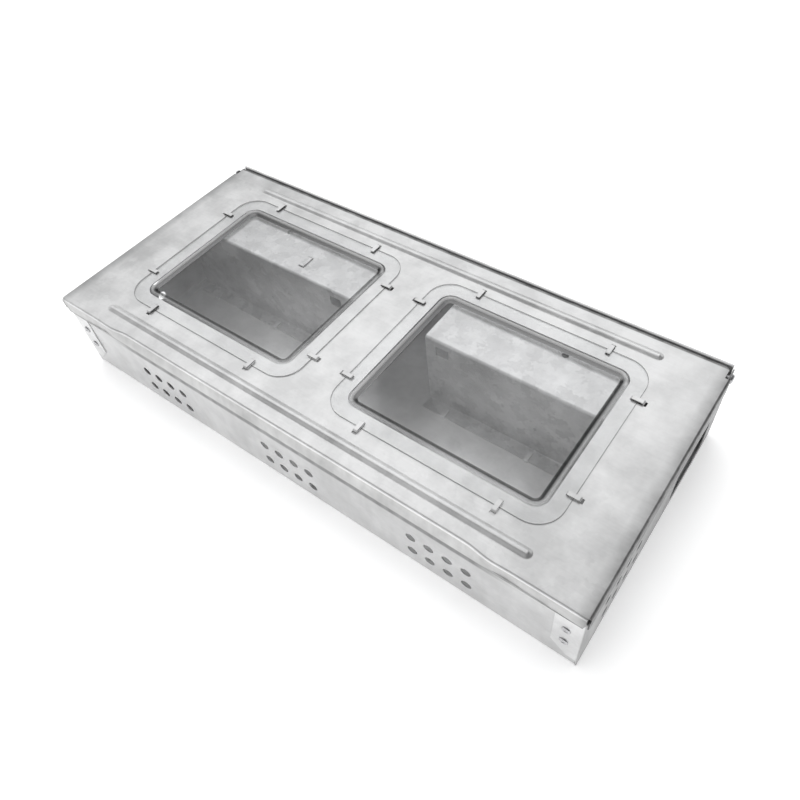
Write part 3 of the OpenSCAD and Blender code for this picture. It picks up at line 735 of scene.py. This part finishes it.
def pane_part(s, side):
    """Clear pane: one closed skin, from the middle of the dish's underside out to the flange's
    rim and back over the top. Each corner of the profile is an arc, as formed sheet has."""
    low, high = box_of("right_window_pane")
    half = (high - low)[:2] / 2
    centre = (low + high) / 2
    play, lift, flange_corner, opening_corner = 0.7, 0.02, 17, 8.4
    top, under = high[2], high[2] - s["pane"] + lift
    low_floor, high_floor = high[2] - s["pane"] - s["dish"], top - s["dish"]
    flange = s["pane_flange"] + play
    rim, opening = half[1], half[1] - flange
    floor = opening - s["dish_lean"]
    outer, inner = 0.25 * s["pane"], 0.9 * s["pane"]
    profile = [
        (0, low_floor), (floor - outer, low_floor), (opening - outer, under), (rim, under),
        (rim, top), (opening - inner, top), (floor - inner, high_floor), (0, high_floor)]
    radii = [1.5, 0.55, 0.18, 0.28, 1.35, 0.75]
    part = swept(profile, radii, pane_ring(half, flange_corner, opening_corner, flange), steps=7)
    return moved(part, np.eye(3), (side * centre[0], 0, 0))


def mark_walls(piece, part):
    """Stores, at each point, how far the pane's skin leans: 1 minus the square of the normal's
    height, and less than a third of that at the flange's thin rim."""
    lean = 1 - unit(part["normals"])[:, 2] ** 2
    marks = piece.data.attributes.new("wall", "FLOAT", "POINT")
    rim = part["points"][:, 2] > part["points"][:, 2].max() - 0.9
    marks.data.foreach_set("value", np.where(rim, lean * 0.3, lean))


# Tray -------------------------------------------------------------------------------------


def vents(s, first, towards, rows):
    """Four air holes in each row: centre = first plus the pitch times the hole's number."""
    return [
        disc(first + towards * s["vent_pitch"] * i, row, s["vent"] / 2) for i in range(4) for row in rows]


def floor_tab_places():
    """Where the floor's tabs hold the tunnels' feet: near both ends and in the middle."""
    places = []
    for side, name in ((1, "right_tunnel_cover"), (-1, "left_tunnel_cover")):
        low, high = box_of(name)
        near, far = sorted(np.abs([low[0], high[0]]))
        places += [side * x for x in (near + 18, (near + far) / 2, far - 24)]
    return places


def tray_part(s):
    """Tray: one sheet along a line that runs down the front wall, over the floor, up the rear
    wall and back down outside it as the hem. Holes are circles and slots in the flat pattern."""
    hem, hem_gap, tab_half, tab_long, tab_gap = 6.5, 0.3, 1.5, 7.6, 0.1
    low, high = box_of("base_tray")
    half = s["sheet"] / 2
    wall, rear = low[1] + half, high[1] - half
    inner_rear = rear - s["sheet"] - hem_gap
    wall_top = box_of("right_end_wall")[1][2]
    hem_low = high[2] - hem
    fold = Fold(
        [(wall, wall_top), (wall, half), (inner_rear, half), (inner_rear, high[2] - half),
            (rear, high[2] - half), (rear, hem_low)],
        [s["tray_fold"], s["tray_fold"], 0.54, 0.54])
    x = high[0]
    loops = [patch(-x, 0, x, fold.length, 0.6)]
    rows = [fold.along((wall, s["vent_low"] + s["vent_rise"] * k)) for k in (0, 1)]
    for group in (-1, 0, 1):
        first = group * s["vent_groups"] - 1.5 * s["vent_pitch"]
        loops += vents(s, first, 1, rows)
    foot = box_of("right_tunnel_cover")[0][1]
    root = foot - 0.4 - half
    for tab in floor_tab_places():
        near, far = (fold.along((root + half + k, half)) for k in (0, tab_long + 0.2))
        loops.append(patch(tab - tab_half, near, tab + tab_half, far, 0.3, steps=2))
    stations = np.linspace(-x, x, 36)[1:-1]
    body = sheet(
        loops, fold.placed((0, 1, 2)), s["sheet"], edge=s["cut_edge"], inner=lattice(stations, fold.rows),
        rows=fold.rows)
    lift = s["sheet"] * 2 + tab_gap + half
    strip = Fold([(root, half), (root, lift), (root + tab_long, lift)], [0.6], steps=6)
    tabs = [
        strap(s, strip, (tab - tab_half, tab + tab_half), (0, 1, 2), spacing=1.5)
        for tab in floor_tab_places()]
    return joined([body] + tabs)


# End walls --------------------------------------------------------------------------------


def end_wall_part(s):
    """Right end wall: one sheet along a line that runs in from the front corner flap, round the
    corner, along the end and round to the rear flap, with the entry and air holes cut in it."""
    low, high = box_of("right_end_wall")
    half = s["sheet"] / 2
    tray, tunnel = box_of("base_tray"), box_of("right_tunnel_cover")
    flap_x, x = low[0], high[0] - half
    front, rear = low[1] + half, high[1] - half
    top = high[2]
    fold = Fold([(flap_x, front), (x, front), (x, rear), (flap_x, rear)], [1.3, 1.3])
    corner = [fold.along((x, front)), fold.along((x, rear))]
    notch = tray[1][2] - 6.8
    notch_y = fold.along((x, tray[1][1] - 1.9))
    chamfer, flap_low = 10, 19
    outline = [
        (0, corner[0] + 0.2), (0, corner[1] - 0.2), (flap_low - chamfer, corner[1] + 0.4),
        (flap_low - chamfer, fold.length - chamfer), (flap_low, fold.length),
        (notch, fold.length), (notch, notch_y), (top, notch_y),
        (top, 0), (flap_low, 0), (flap_low - chamfer, chamfer), (flap_low - chamfer, corner[0] - 0.4)]
    radii = [0.5, 0.5, 0.3, 1, 1, 0.6, 0.3, 0.6, 0.6, 1, 1, 0.3]
    loops = [rounded(outline, radii, closed=True, steps=4)[0]]
    middle = sum(box_of("right_treadle_pin"))[1] / 2
    sill, height, width = 7, 28, 50
    entry = [fold.along((x, middle + k * width / 2)) for k in (-1, 1)]
    loops.append(patch(sill, entry[0], sill + height, entry[1], 4, steps=8))
    first = fold.along((x, tray[0][1] + 30))
    for row in (0, 1):
        level = s["vent_low"] + s["vent_rise"] * row
        loops += [disc(level, first + s["vent_pitch"] * i, s["vent"] / 2) for i in range(4)]
    body = folded(fold, loops, (2, 0, 1), s["sheet"], spacing=6, edge=s["cut_edge"])
    foot = Fold([(x - 0.1, 3.2), (x - 0.1, 1.2), (x - 7, 1.2)], [1.2], steps=6)
    spans = [(tray[0][1] + 3.2, tunnel[0][1] - 1.6), (tunnel[0][1] + 11.2, tunnel[1][1] - 7.3)]
    feet = [strap(s, foot, span, (1, 0, 2), corner=0.8) for span in spans]
    return joined([body] + feet)


# Tunnels ----------------------------------------------------------------------------------


def tunnel_part(s, side):
    """Tunnel cover, as for the right end: one sheet along foot, inner wall, roof, rear wall and
    rear foot. A stop tab is lanced from the inner wall, and the left roof has a raised tab."""
    name = "right_tunnel_cover" if side > 0 else "left_tunnel_cover"
    low, high = box_of(name)
    reach, out = sorted(np.abs([low[0], high[0]]))
    half = s["sheet"] / 2
    pin_low, pin_high = box_of("right_treadle_pin")
    pin = (pin_low + pin_high) / 2
    front, rear = pin_low[1] + half, pin_high[1] - half
    roof = box_of("right_tunnel_cover")[1][2] - half
    foot = s["sheet"] + half
    fold = Fold(
        [(low[1], foot), (front, foot), (front, roof), (rear, roof), (rear, foot), (high[1], foot)],
        [s["fold"], 1.7, 1.7, s["fold"]])
    loops = [patch(reach, 0, out, fold.length, 1.2)]
    loops.append(disc(pin[0], fold.along((pin[1], roof)), 2.3, 32))
    pin_radius = (pin_high - pin_low)[0] / 2
    loops += [disc(pin[0], fold.along((y, pin[2])), pin_radius + 0.03) for y in (front, rear)]
    treadle_top = box_of("right_treadle")[1][2]
    stop_x, stop_wide, slot = pin[0] - 77, 10, 8.4
    stop = treadle_top + 0.7
    lance = sorted(fold.along((front, stop + k)) for k in (half, half + slot))
    loops.append(patch(stop_x, lance[0], stop_x + stop_wide, lance[1], 0.5, steps=3))
    strips = []
    leaf = Fold([(front, stop - 0.9), (front, stop), (front + slot, stop)], [0.7], steps=6)
    strips.append(strap(s, leaf, (stop_x, stop_x + stop_wide), (0, 1, 2), corner=0.8, spacing=3))
    if side < 0:
        tab_x, tab_y, wide, long = pin[0] - 36, pin_low[1] + 8, 5, 12
        near, far = (fold.along((tab_y + k, roof)) for k in (0, long - s["sheet"]))
        loops.append(patch(tab_x, near, tab_x + wide, far, 0.5, steps=3))
        raised = Fold(
            [(tab_y + long, roof), (tab_y + long - 1.6, roof + s["sheet"] + 0.25),
                (tab_y + 0.4, roof + s["sheet"] + 0.3)], [1.2], steps=5)
        thin = {**s, "sheet": s["sheet"] * 0.9}
        strips.append(strap(thin, raised, (tab_x, tab_x + wide), (0, 1, 2), corner=0.6, spacing=2))
    body = folded(fold, loops, (0, 1, 2), s["sheet"], edge=s["cut_edge"])
    return mirrored(joined([body] + strips), side)


# Treadles ---------------------------------------------------------------------------------


def treadle_part(s, side):
    """Treadle, as for the right end: a plate whose entry end is folded under as a hem, with two
    ears round the pin. It is made level about the pin and then turned down towards the entry."""
    low, high = box_of("right_treadle")
    pin = sum(box_of("right_treadle_pin")) / 2
    slope = math.radians(16)
    half, lift = s["sheet"] / 2, 3.0
    inner, entry, hem = -81.5, 84.5, 16
    ear_half, ear_radius, ear_bore, ear_top = 9, 3.8, 1.56, lift - 0.9
    under, hem_radius = lift - 1.1, 0.54
    fold = Fold(
        [(inner, lift), (entry - half, lift), (entry - half, under), (entry - hem, under)],
        [hem_radius, hem_radius])
    panel = strap(s, fold, (low[1], high[1]), (1, 0, 2), corner=2.0)
    shoulder = [(ear_half, ear_top), (ear_half, lift), (-ear_half, lift), (-ear_half, ear_top)]
    loops = [np.concatenate([half_round(0, 0, ear_radius, 17), shoulder]), disc(0, 0, ear_bore, 24)]
    ears = [plate(loops, 1, y, s["sheet"], edge=s["cut_edge"]) for y in (low[1] + half, high[1] - half)]
    turn = [[math.cos(slope), 0, math.sin(slope)], [0, 1, 0], [-math.sin(slope), 0, math.cos(slope)]]
    return mirrored(moved(joined([panel] + ears), turn, (pin[0], 0, pin[2])), side)


# Pins and rivets --------------------------------------------------------------------------


def pin_part(node):
    """Treadle pin: a turned wire whose ends are rounded over."""
    low, high = box_of(node)
    middle, span = (low + high) / 2, high - low
    radius, length_half = span[0] / 2, span[1] / 2
    profile = [(0, -length_half), (radius, -length_half), (radius, length_half), (0, length_half)]
    return turned_to(swept(profile, [0.35, 0.35], round_ring(40)), middle, 1, 1)


def hinge_part(side):
    """Hinge pin: tail, shank and a domed head, turned as one profile. The head stands outside."""
    low, high = box_of("right_hinge_pin")
    middle, span = (low + high) / 2, high - low
    head, shank, tail, tail_length, head_height = span[1] / 2, 1.5, 2.3, 1.0, 2.2
    profile = [
        (0, 0), (tail, 0), (tail, tail_length), (shank, tail_length), (shank, span[0] - head_height),
        (head, span[0] - head_height), (head * 0.86, span[0] - 0.25), (0, span[0])]
    part = swept(profile, [0.4, 0.3, 0.15, 0.15, 0.35, 1.0], round_ring(48))
    return mirrored(turned_to(part, (low[0], middle[1], middle[2]), 0, 1), side)


def rivet_part(node):
    """Corner rivet: formed tail, shank and a low head with a set-in centre, turned as one
    profile. The front rivets face out of the front wall and the rear ones out of the rear."""
    low, high = box_of(node)
    middle, span = (low + high) / 2, high - low
    head, shank, tail, tail_length, head_height = span[0] / 2, 1.6, 2.5, 0.7, 0.9
    neck = span[1] - head_height
    profile = [
        (0, 0), (tail, 0), (tail, tail_length), (shank, tail_length), (shank, neck), (head, neck),
        (head * 0.84, span[1] - 0.12), (1.35, span[1]), (1.05, span[1] - 0.5), (0.85, span[1] - 0.5),
        (0.7, span[1] - 0.2), (0, span[1] - 0.16)]
    part = swept(profile, [0.2, 0.2, 0.1, 0.1, 0.25, 0.6, 0.25, 0.08, 0.08, 0.2], round_ring(40))
    facing = -1 if middle[1] < 0 else 1
    start = high[1] if facing < 0 else low[1]
    return turned_to(part, (middle[0], start, middle[2]), 1, facing)


# Finishes ---------------------------------------------------------------------------------


class Finish:
    """A material's nodes, made one at a time. An input is a value or another node's output."""

    def __init__(self, name, kind="materials", skin="Principled BSDF", end="Material Output"):
        self.material = getattr(bpy.data, kind).new(name)
        self.material.use_nodes = True
        self.nodes = self.material.node_tree.nodes
        self.links = self.material.node_tree.links
        self.skin = self.nodes[skin]
        self.end = self.nodes[end]

    def feed(self, node, socket, value):
        """Links an output to a node's input, or sets the input's own value."""
        if isinstance(value, bpy.types.NodeSocket):
            self.links.new(value, node.inputs[socket])
        else:
            node.inputs[socket].default_value = value

    def add(self, kind, inputs=None, out=0, **settings):
        """A new node with its settings and inputs, giving back one of its outputs."""
        node = self.nodes.new("ShaderNode" + kind)
        for name, value in settings.items():
            setattr(node, name, value)
        for socket, value in (inputs or {}).items():
            self.feed(node, socket, value)
        return node.outputs[out]

    def noise(self, scale, detail=2.0, stretch=(1, 1, 1), rough=0.5):
        """Noise over the object, in cycles a metre, stretched by a factor on each axis."""
        place = self.add("TexCoord", out="Object")
        place = self.add("Mapping", {"Vector": place, "Scale": stretch})
        inputs = {"Vector": place, "Scale": scale, "Detail": detail, "Roughness": rough}
        return self.add("TexNoise", inputs)

    def between(self, value, low, high, from_low=0.0, from_high=1.0, curve="LINEAR"):
        """The value carried from one range to another, held at both ends."""
        inputs = {"Value": value, "From Min": from_low, "From Max": from_high}
        return self.add("MapRange", {**inputs, "To Min": low, "To Max": high}, interpolation_type=curve)

    def times(self, a, b):
        """Product of two values."""
        return self.add("Math", {0: a, 1: b}, operation="MULTIPLY")

    def flakes(self, scale):
        """Random value of each crystal: Voronoi cells whose place is bent by noise."""
        place = self.add("TexCoord", out="Object")
        bend = self.add("TexNoise", {"Vector": place, "Scale": scale * 2.2, "Detail": 3.0}, out="Color")
        bend = self.add("VectorMath", {0: bend, "Scale": 0.011}, operation="SCALE")
        place = self.add("VectorMath", {0: place, 1: bend}, operation="ADD")
        cell = self.add("TexVoronoi", {"Vector": place, "Scale": scale}, out="Color")
        return self.add("SeparateColor", {"Color": cell}, out=0)

    def bump(self, height, distance, under=None):
        """Normal tilted by a height, full scale at a distance in metres, over another bump."""
        inputs = {"Height": height, "Distance": distance, "Strength": 1.0}
        if under is not None:
            inputs["Normal"] = under
        return self.add("Bump", inputs)


def zinc(
        name, colour, rough, flake=0.07, stretch=(0.04, 1, 1), marks=0.24, crystal=95, painted_shade_zones=(),
        bright=0.88):
    """Galvanised sheet. Its colour is the given one times three shades: one for each crystal flake, one
    for the rolling grain along the sheet and one for handling marks. Slow waves and faint flake edges
    tilt the surface. The list of zones gives where shade is painted into the colour, broken by streaks of
    scratch noise: the share of colour that stays in their darkest spots, and then each axis with the
    places on it where the painted shade starts and is full, which on X hold for both ends."""
    f = Finish(name)
    flakes = f.flakes(crystal)
    shade = f.between(flakes, 1 - flake, 1.0)
    lines = f.noise(900, 3, stretch)
    grain = 0.025
    shade = f.times(shade, f.between(lines, 1 - grain, 1 + grain / 2, 0.3, 0.7))
    blotch = f.noise(34, 4, (1, 1, 1), 0.62)
    shade = f.times(shade, f.between(blotch, 1 - marks, 1.0, 0.35, 0.62))
    scratches = f.between(f.noise(160, 3, (1, 1, 0.3)), 0, 0.3, 0.3, 0.7)
    # Painted shade: each zone darkens the colour towards its listed share, broken by scratch streaks.
    for left, *limits in painted_shade_zones:
        painted_shade_weight = 1.0
        for axis, start, full in limits:
            place = f.add("SeparateXYZ", {0: f.add("TexCoord", out="Object")}, out=axis)
            if axis == "X":
                place = f.add("Math", {0: place}, operation="ABSOLUTE")
            painted_shade_weight = f.times(painted_shade_weight, f.between(place, 0, 1, start * MM, full * MM))
        kept = f.between(scratches, left, 1)
        shade = f.times(shade, f.add("Mix", {"Factor": painted_shade_weight, 2: 1.0, 3: kept}, data_type="FLOAT"))
    tint = f.add("VectorMath", {0: colour, "Scale": shade}, operation="SCALE")
    f.feed(f.skin, "Base Color", tint)
    f.feed(f.skin, "Metallic", bright)
    gloss = f.times(f.between(blotch, 0.9, 1.15, 0.3, 0.7), f.between(flakes, 0.92 * rough, 1.1 * rough))
    f.feed(f.skin, "Roughness", gloss)
    slow = f.bump(f.noise(13, 1), 0.0003)
    fine = f.bump(lines, 0.000004, slow)
    f.feed(f.skin, "Normal", f.bump(flakes, 0.000008, fine))
    return f.material


def turned_steel(name, colour):
    """Plated wire and rivets: fine noise in shade, roughness and height."""
    f = Finish(name)
    grit = f.noise(1400, 4, (1, 1, 1), 0.65)
    shade = f.between(grit, 0.82, 1.05, 0.3, 0.7)
    f.feed(f.skin, "Base Color", f.add("VectorMath", {0: colour, "Scale": shade}, operation="SCALE"))
    f.feed(f.skin, "Metallic", 1.0)
    f.feed(f.skin, "Roughness", f.between(f.noise(300, 3), 0.22, 0.42, 0.3, 0.7))
    f.feed(f.skin, "Normal", f.bump(grit, 0.00001))
    return f.material


def clear_sheet(name, tint):
    """Clear plastic: a see-through shader under a gloss that grows from 4 percent face on to all at a
    glancing angle, by the fifth power. Where the skin leans, as on the dish's wall, a diffuse painted
    shade stands in for what the thick edge refracts and reflects: lighter face on and dark at a glancing
    angle, with a painted highlight along the two bends. The gloss is weaker there, and faint smears vary
    it."""
    f = Finish(name)
    wall = f.add("Attribute", out="Fac", attribute_name="wall")
    smear = f.noise(18, 5, (1, 1, 1), 0.6)
    facing = f.add("LayerWeight", {"Blend": 0.5}, out="Facing")
    see = f.add("BsdfTransparent", {"Color": (*tint, 1.0)})
    # Painted highlight: a light line along the two bends of the dish's wall, added to the wall's painted
    # tone.
    bend = f.times(f.between(wall, 0, 1, 0.005, 0.04), f.between(wall, 1, 0, 0.06, 0.14))
    # Painted shade: the wall's diffuse tone, lighter face on and nearly black at a glancing angle.
    painted_wall_tone = f.between(facing, 0.27, 0.004, 0.12, 0.36, "SMOOTHSTEP")
    painted_wall_tone = f.add("Math", {0: painted_wall_tone, 1: f.times(bend, 0.9)}, operation="ADD")
    painted_wall_bsdf = f.add("BsdfDiffuse", {"Color": painted_wall_tone})
    # Share of the painted wall shade that takes the place of the see-through shader.
    thick = f.between(wall, 0.0, 0.76, 0.01, 0.2)
    see = f.add("MixShader", {0: thick, 1: see, 2: painted_wall_bsdf})
    f.feed(f.skin, "Base Color", (0.96, 0.962, 0.965, 1.0))
    f.feed(f.skin, "Metallic", 1.0)
    f.feed(f.skin, "Roughness", f.between(smear, 0.03, 0.10, 0.35, 0.7))
    f.feed(f.skin, "Normal", f.bump(f.noise(16, 1), 0.0002))
    grazing = f.add("Math", {0: facing, 1: 5.0}, operation="POWER")
    shine = f.times(f.between(grazing, 0.04, 1.0), f.between(wall, 1.0, 0.35, 0.03, 0.2))
    shine = f.add("Math", {0: shine, 1: f.between(smear, 0.0, 0.03, 0.4, 0.7)}, operation="ADD")
    f.feed(f.end, "Surface", f.add("MixShader", {0: shine, 1: see, 2: f.skin.outputs[0]}))
    return f.material


# Operators --------------------------------------------------------------------------------


class TRAP_OT_lid(bpy.types.Operator):
    """Makes the hinged lid: folded sheet with its lip, flanges, ribs, windows, tabs and ears"""

    bl_idname = "trap.lid"
    bl_label = "Lid"

    def execute(self, context):
        finish = context.scene.trap_finish
        (_, _, foot), (end, rear, top) = box_of("lid_panel")
        # Painted shade in the lid's colour, broken by scratch streaks: the flanges more than about 3 mm
        # below the top, with a painted shadow along their lower edge; both ends darkening towards the
        # side folds and darkest on the folds; and a painted shadow line along the rear edge.
        painted_shade_zones = [
            (0.62, ("Z", top - 3.0, top - 3.8)), (0.4, ("Z", foot + 1.2, foot + 0.8)),
            (0.55, ("X", end - 9, end - 0.6)), (0.25, ("X", end - 1.6, end - 0.6)),
            (0.15, ("Y", rear - 2.2, rear - 1.2))]
        metal = zinc("Lid zinc", finish.lid, finish.gloss, painted_shade_zones=painted_shade_zones)
        make_piece("lid_sheet", LidShape(sizes()).build(), metal, "lid", ["lid_panel"])
        return {"FINISHED"}


class TRAP_OT_panes(bpy.types.Operator):
    """Makes the two clear panes, each with a flange on the lid and a shallow dish"""

    bl_idname = "trap.panes"
    bl_label = "Panes"

    def execute(self, context):
        clear = clear_sheet("Clear pane", context.scene.trap_finish.pane)
        for name, side in SIDES.items():
            part = pane_part(sizes(), side)
            pane = make_piece(f"{name}_pane", part, clear, "lid", [f"{name}_window_pane"])
            mark_walls(pane, part)
        return {"FINISHED"}


class TRAP_OT_tray(bpy.types.Operator):
    """Makes the tray: floor, front wall and hemmed rear wall in one folded sheet"""

    bl_idname = "trap.tray"
    bl_label = "Tray"

    def execute(self, context):
        finish = context.scene.trap_finish
        foot = box_of("lid_panel")[0][2]
        front = box_of("base_tray")[0][1]
        # Painted shade in the tray's colour, broken by scratch streaks: a painted shadow band on the
        # front wall just under the middle of the lid's lip, and the whole outer face of the front wall
        # darkened a little.
        painted_shade_zones = [
            (0.3, ("Z", foot - 10, foot - 8.4), ("X", 165, 140), ("Y", front + 4.5, front + 1.5)),
            (0.8, ("Y", front + 0.6, front + 0.1))]
        metal = zinc("Tray zinc", finish.body, finish.gloss, painted_shade_zones=painted_shade_zones, marks=0.18, bright=0.62)
        make_piece("tray_sheet", tray_part(sizes()), metal, "base", ["base_tray"])
        return {"FINISHED"}


class TRAP_OT_ends(bpy.types.Operator):
    """Makes both end walls with their corner flaps, entries, air holes and feet"""

    bl_idname = "trap.ends"
    bl_label = "End Walls"

    def execute(self, context):
        finish = context.scene.trap_finish
        outer = box_of("right_end_wall")[1][0]
        # Painted shade in the end walls' colour, broken by scratch streaks: the outer face is darkened,
        # and darker still towards the rear.
        skin = ("X", outer - 1.0, outer - 0.3)
        painted_shade_zones = [(0.42, skin), (0.5, skin, ("Y", -60, 70))]
        metal = zinc("End zinc", finish.body, finish.gloss, stretch=(1, 0.04, 1), painted_shade_zones=painted_shade_zones, bright=0.6)
        for name, side in SIDES.items():
            part = mirrored(end_wall_part(sizes()), side)
            make_piece(f"{name}_end_sheet", part, metal, "base", [f"{name}_end_wall"])
        return {"FINISHED"}


class TRAP_OT_tunnels(bpy.types.Operator):
    """Makes both tunnel covers with their feet, stops and holes"""

    bl_idname = "trap.tunnels"
    bl_label = "Tunnels"

    def execute(self, context):
        finish = context.scene.trap_finish
        metal = zinc(
            "Tunnel zinc", finish.tunnel, finish.gloss, flake=0.26, marks=0.2, crystal=150, bright=0.8)
        for name, side in SIDES.items():
            part = tunnel_part(sizes(), side)
            node = f"{name}_tunnel_cover"
            make_piece(f"{name}_tunnel_sheet", part, metal, "base", [node])
        return {"FINISHED"}


class TRAP_OT_treadles(bpy.types.Operator):
    """Makes both tilting treadles with their hems and ears"""

    bl_idname = "trap.treadles"
    bl_label = "Treadles"

    def execute(self, context):
        finish = context.scene.trap_finish
        metal = zinc("Treadle zinc", finish.treadle, finish.gloss, flake=0.12)
        for name, side in SIDES.items():
            part, node = treadle_part(sizes(), side), f"{name}_treadle"
            make_piece(f"{node}_sheet", part, metal, node, [node])
        return {"FINISHED"}


class TRAP_OT_pins(bpy.types.Operator):
    """Makes the treadle pins and the lid's hinge pins"""

    bl_idname = "trap.pins"
    bl_label = "Pins"

    def execute(self, context):
        steel = turned_steel("Pin steel", context.scene.trap_finish.pin)
        for name, side in SIDES.items():
            wire = pin_part(f"{name}_treadle_pin")
            make_piece(f"{name}_treadle_wire", wire, steel, "base", [f"{name}_treadle_pin"])
            stud = hinge_part(side)
            make_piece(f"{name}_hinge_stud", stud, steel, "base", [f"{name}_hinge_pin"])
        return {"FINISHED"}


class TRAP_OT_rivets(bpy.types.Operator):
    """Makes the eight corner rivets"""

    bl_idname = "trap.rivets"
    bl_label = "Rivets"

    def execute(self, context):
        steel = turned_steel("Rivet steel", context.scene.trap_finish.pin)
        for node in sorted(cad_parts):
            if node.endswith("_rivet"):
                name = node.replace("_rivet", "_corner_rivet")
                make_piece(name, rivet_part(node), steel, "base", [node])
        return {"FINISHED"}


class TRAP_OT_stage(bpy.types.Operator):
    """Makes the pale floor, the soft light and the camera"""

    bl_idname = "trap.stage"
    bl_label = "Stage"

    def execute(self, context):
        stage = context.scene.trap_stage
        context.scene.view_settings.view_transform = "Standard"
        make_floor(stage.floor)
        make_sky()
        make_lamp()
        make_camera(stage)
        return {"FINISHED"}


def make_floor(colour):
    """Wide level square just under the tray, faintly lit from within so that shadows stay pale.
    The glow grows away from the trap, where the lamp no longer reaches."""
    half, level = 12.0, -0.0002
    mesh = bpy.data.meshes.new("floor")
    corners = [(-half, -half, level), (half, -half, level), (half, half, level), (-half, half, level)]
    mesh.from_pydata(corners, [], [(0, 1, 2, 3)])
    f = Finish("Floor paper")
    shade = f.between(f.noise(6, 3), 0.99, 1.0)
    f.feed(f.skin, "Base Color", f.add("VectorMath", {0: colour, "Scale": shade}, operation="SCALE"))
    f.feed(f.skin, "Roughness", 0.9)
    f.feed(f.skin, "Specular IOR Level", 0.1)
    f.feed(f.skin, "Emission Color", (1.0, 1.0, 1.0, 1.0))
    away = f.add("VectorMath", {0: f.add("TexCoord", out="Object")}, out="Value", operation="LENGTH")
    f.feed(f.skin, "Emission Strength", f.between(away, 0.22, 0.62, 0.6, 1.8, "SMOOTHSTEP"))
    mesh.materials.append(f.material)
    floor = bpy.data.objects.new("floor", mesh)
    bpy.context.scene.collection.objects.link(floor)


def make_sky():
    """Pale sky, brightest in a band half way up, with a dark side to the right and a dark patch
    high in front, which the folds and ribs pick up as dark lines."""
    f = Finish("Studio", "worlds", "Background", "World Output")
    way = f.add("TexCoord", out="Generated")
    x, y, z = (f.add("SeparateXYZ", {0: way}, out=k) for k in range(3))

    def step(value, low, high, start, end):
        return f.between(value, low, high, start, end, "SMOOTHSTEP")

    rise, fall = step(z, 0.52, 1.42, 0.5, 0.72), step(z, 1, 0.55, 0.76, 0.88)
    rise = f.times(rise, step(z, 1.9, 1, 0.05, 0.4))
    zenith = step(z, 1, 0, 0.93, 0.99)
    right = f.times(f.times(step(x, 0, 0.88, -0.05, 0.35), step(z, 0, 1, 0.2, 0.45)), zenith)
    front = f.times(f.times(step(y, 0.8, 0, -0.3, 0.0), step(z, 0, 1, 0.5, 0.68)), zenith)
    dark = f.add("Math", {0: right, 1: front}, operation="MAXIMUM")
    f.feed(f.skin, "Color", (0.985, 0.99, 1.0, 1.0))
    f.feed(f.skin, "Strength", f.times(f.times(rise, fall), f.between(dark, 1.0, 0.0)))
    bpy.context.scene.world = f.material


def make_lamp():
    """Soft square lamp that faces down from above, which no bright metal mirrors."""
    light = bpy.data.lights.new("Top", "AREA")
    light.size, light.energy = 2.0, 26
    lamp = bpy.data.objects.new("Top", light)
    lamp.visible_glossy = False
    lamp.location = (0.1, -0.1, 1.7)
    bpy.context.scene.collection.objects.link(lamp)


def make_camera(stage):
    """Camera that looks at its target and is rolled about its line of sight."""
    view = bpy.data.cameras.new("Camera")
    view.lens = stage.lens
    view.sensor_width = 36
    view.shift_x, view.shift_y = -0.01685, -0.01686
    camera = bpy.data.objects.new("Camera", view)
    sight = (Vector(stage.target) - Vector(stage.place)).to_track_quat("-Z", "Y").to_matrix().to_4x4()
    camera.matrix_world = Matrix.Translation(stage.place) @ sight @ Matrix.Rotation(stage.roll, 4, "Z")
    bpy.context.scene.collection.objects.link(camera)
    bpy.context.scene.camera = camera


# Panel and registration -------------------------------------------------------------------

STEPS = [
    TRAP_OT_stage, TRAP_OT_tray, TRAP_OT_ends, TRAP_OT_tunnels, TRAP_OT_treadles, TRAP_OT_pins,
    TRAP_OT_rivets, TRAP_OT_lid, TRAP_OT_panes]


class TRAP_PT_panel(bpy.types.Panel):
    """Lists the steps and the settings"""

    bl_label = "Live Catch Trap"
    bl_idname = "TRAP_PT_panel"
    bl_space_type = "VIEW_3D"
    bl_region_type = "UI"
    bl_category = "Trap"

    def draw(self, context):
        for step in STEPS:
            self.layout.operator(step.bl_idname)
        for group in (context.scene.trap_sizes, context.scene.trap_finish, context.scene.trap_stage):
            box = self.layout.box()
            for name in type(group).__annotations__:
                box.prop(group, name)


CLASSES = [TrapSizes, TrapFinish, TrapStage, *STEPS, TRAP_PT_panel]


def register():
    for item in CLASSES:
        bpy.utils.register_class(item)
    bpy.types.Scene.trap_sizes = PointerProperty(type=TrapSizes)
    bpy.types.Scene.trap_finish = PointerProperty(type=TrapFinish)
    bpy.types.Scene.trap_stage = PointerProperty(type=TrapStage)


def unregister():
    del bpy.types.Scene.trap_sizes, bpy.types.Scene.trap_finish, bpy.types.Scene.trap_stage
    for item in reversed(CLASSES):
        bpy.utils.unregister_class(item)


def main():
    """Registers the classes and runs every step."""
    register()
    for step in STEPS:
        group, name = step.bl_idname.split(".")
        getattr(getattr(bpy.ops, group), name)()


if __name__ == "__main__":
    main()
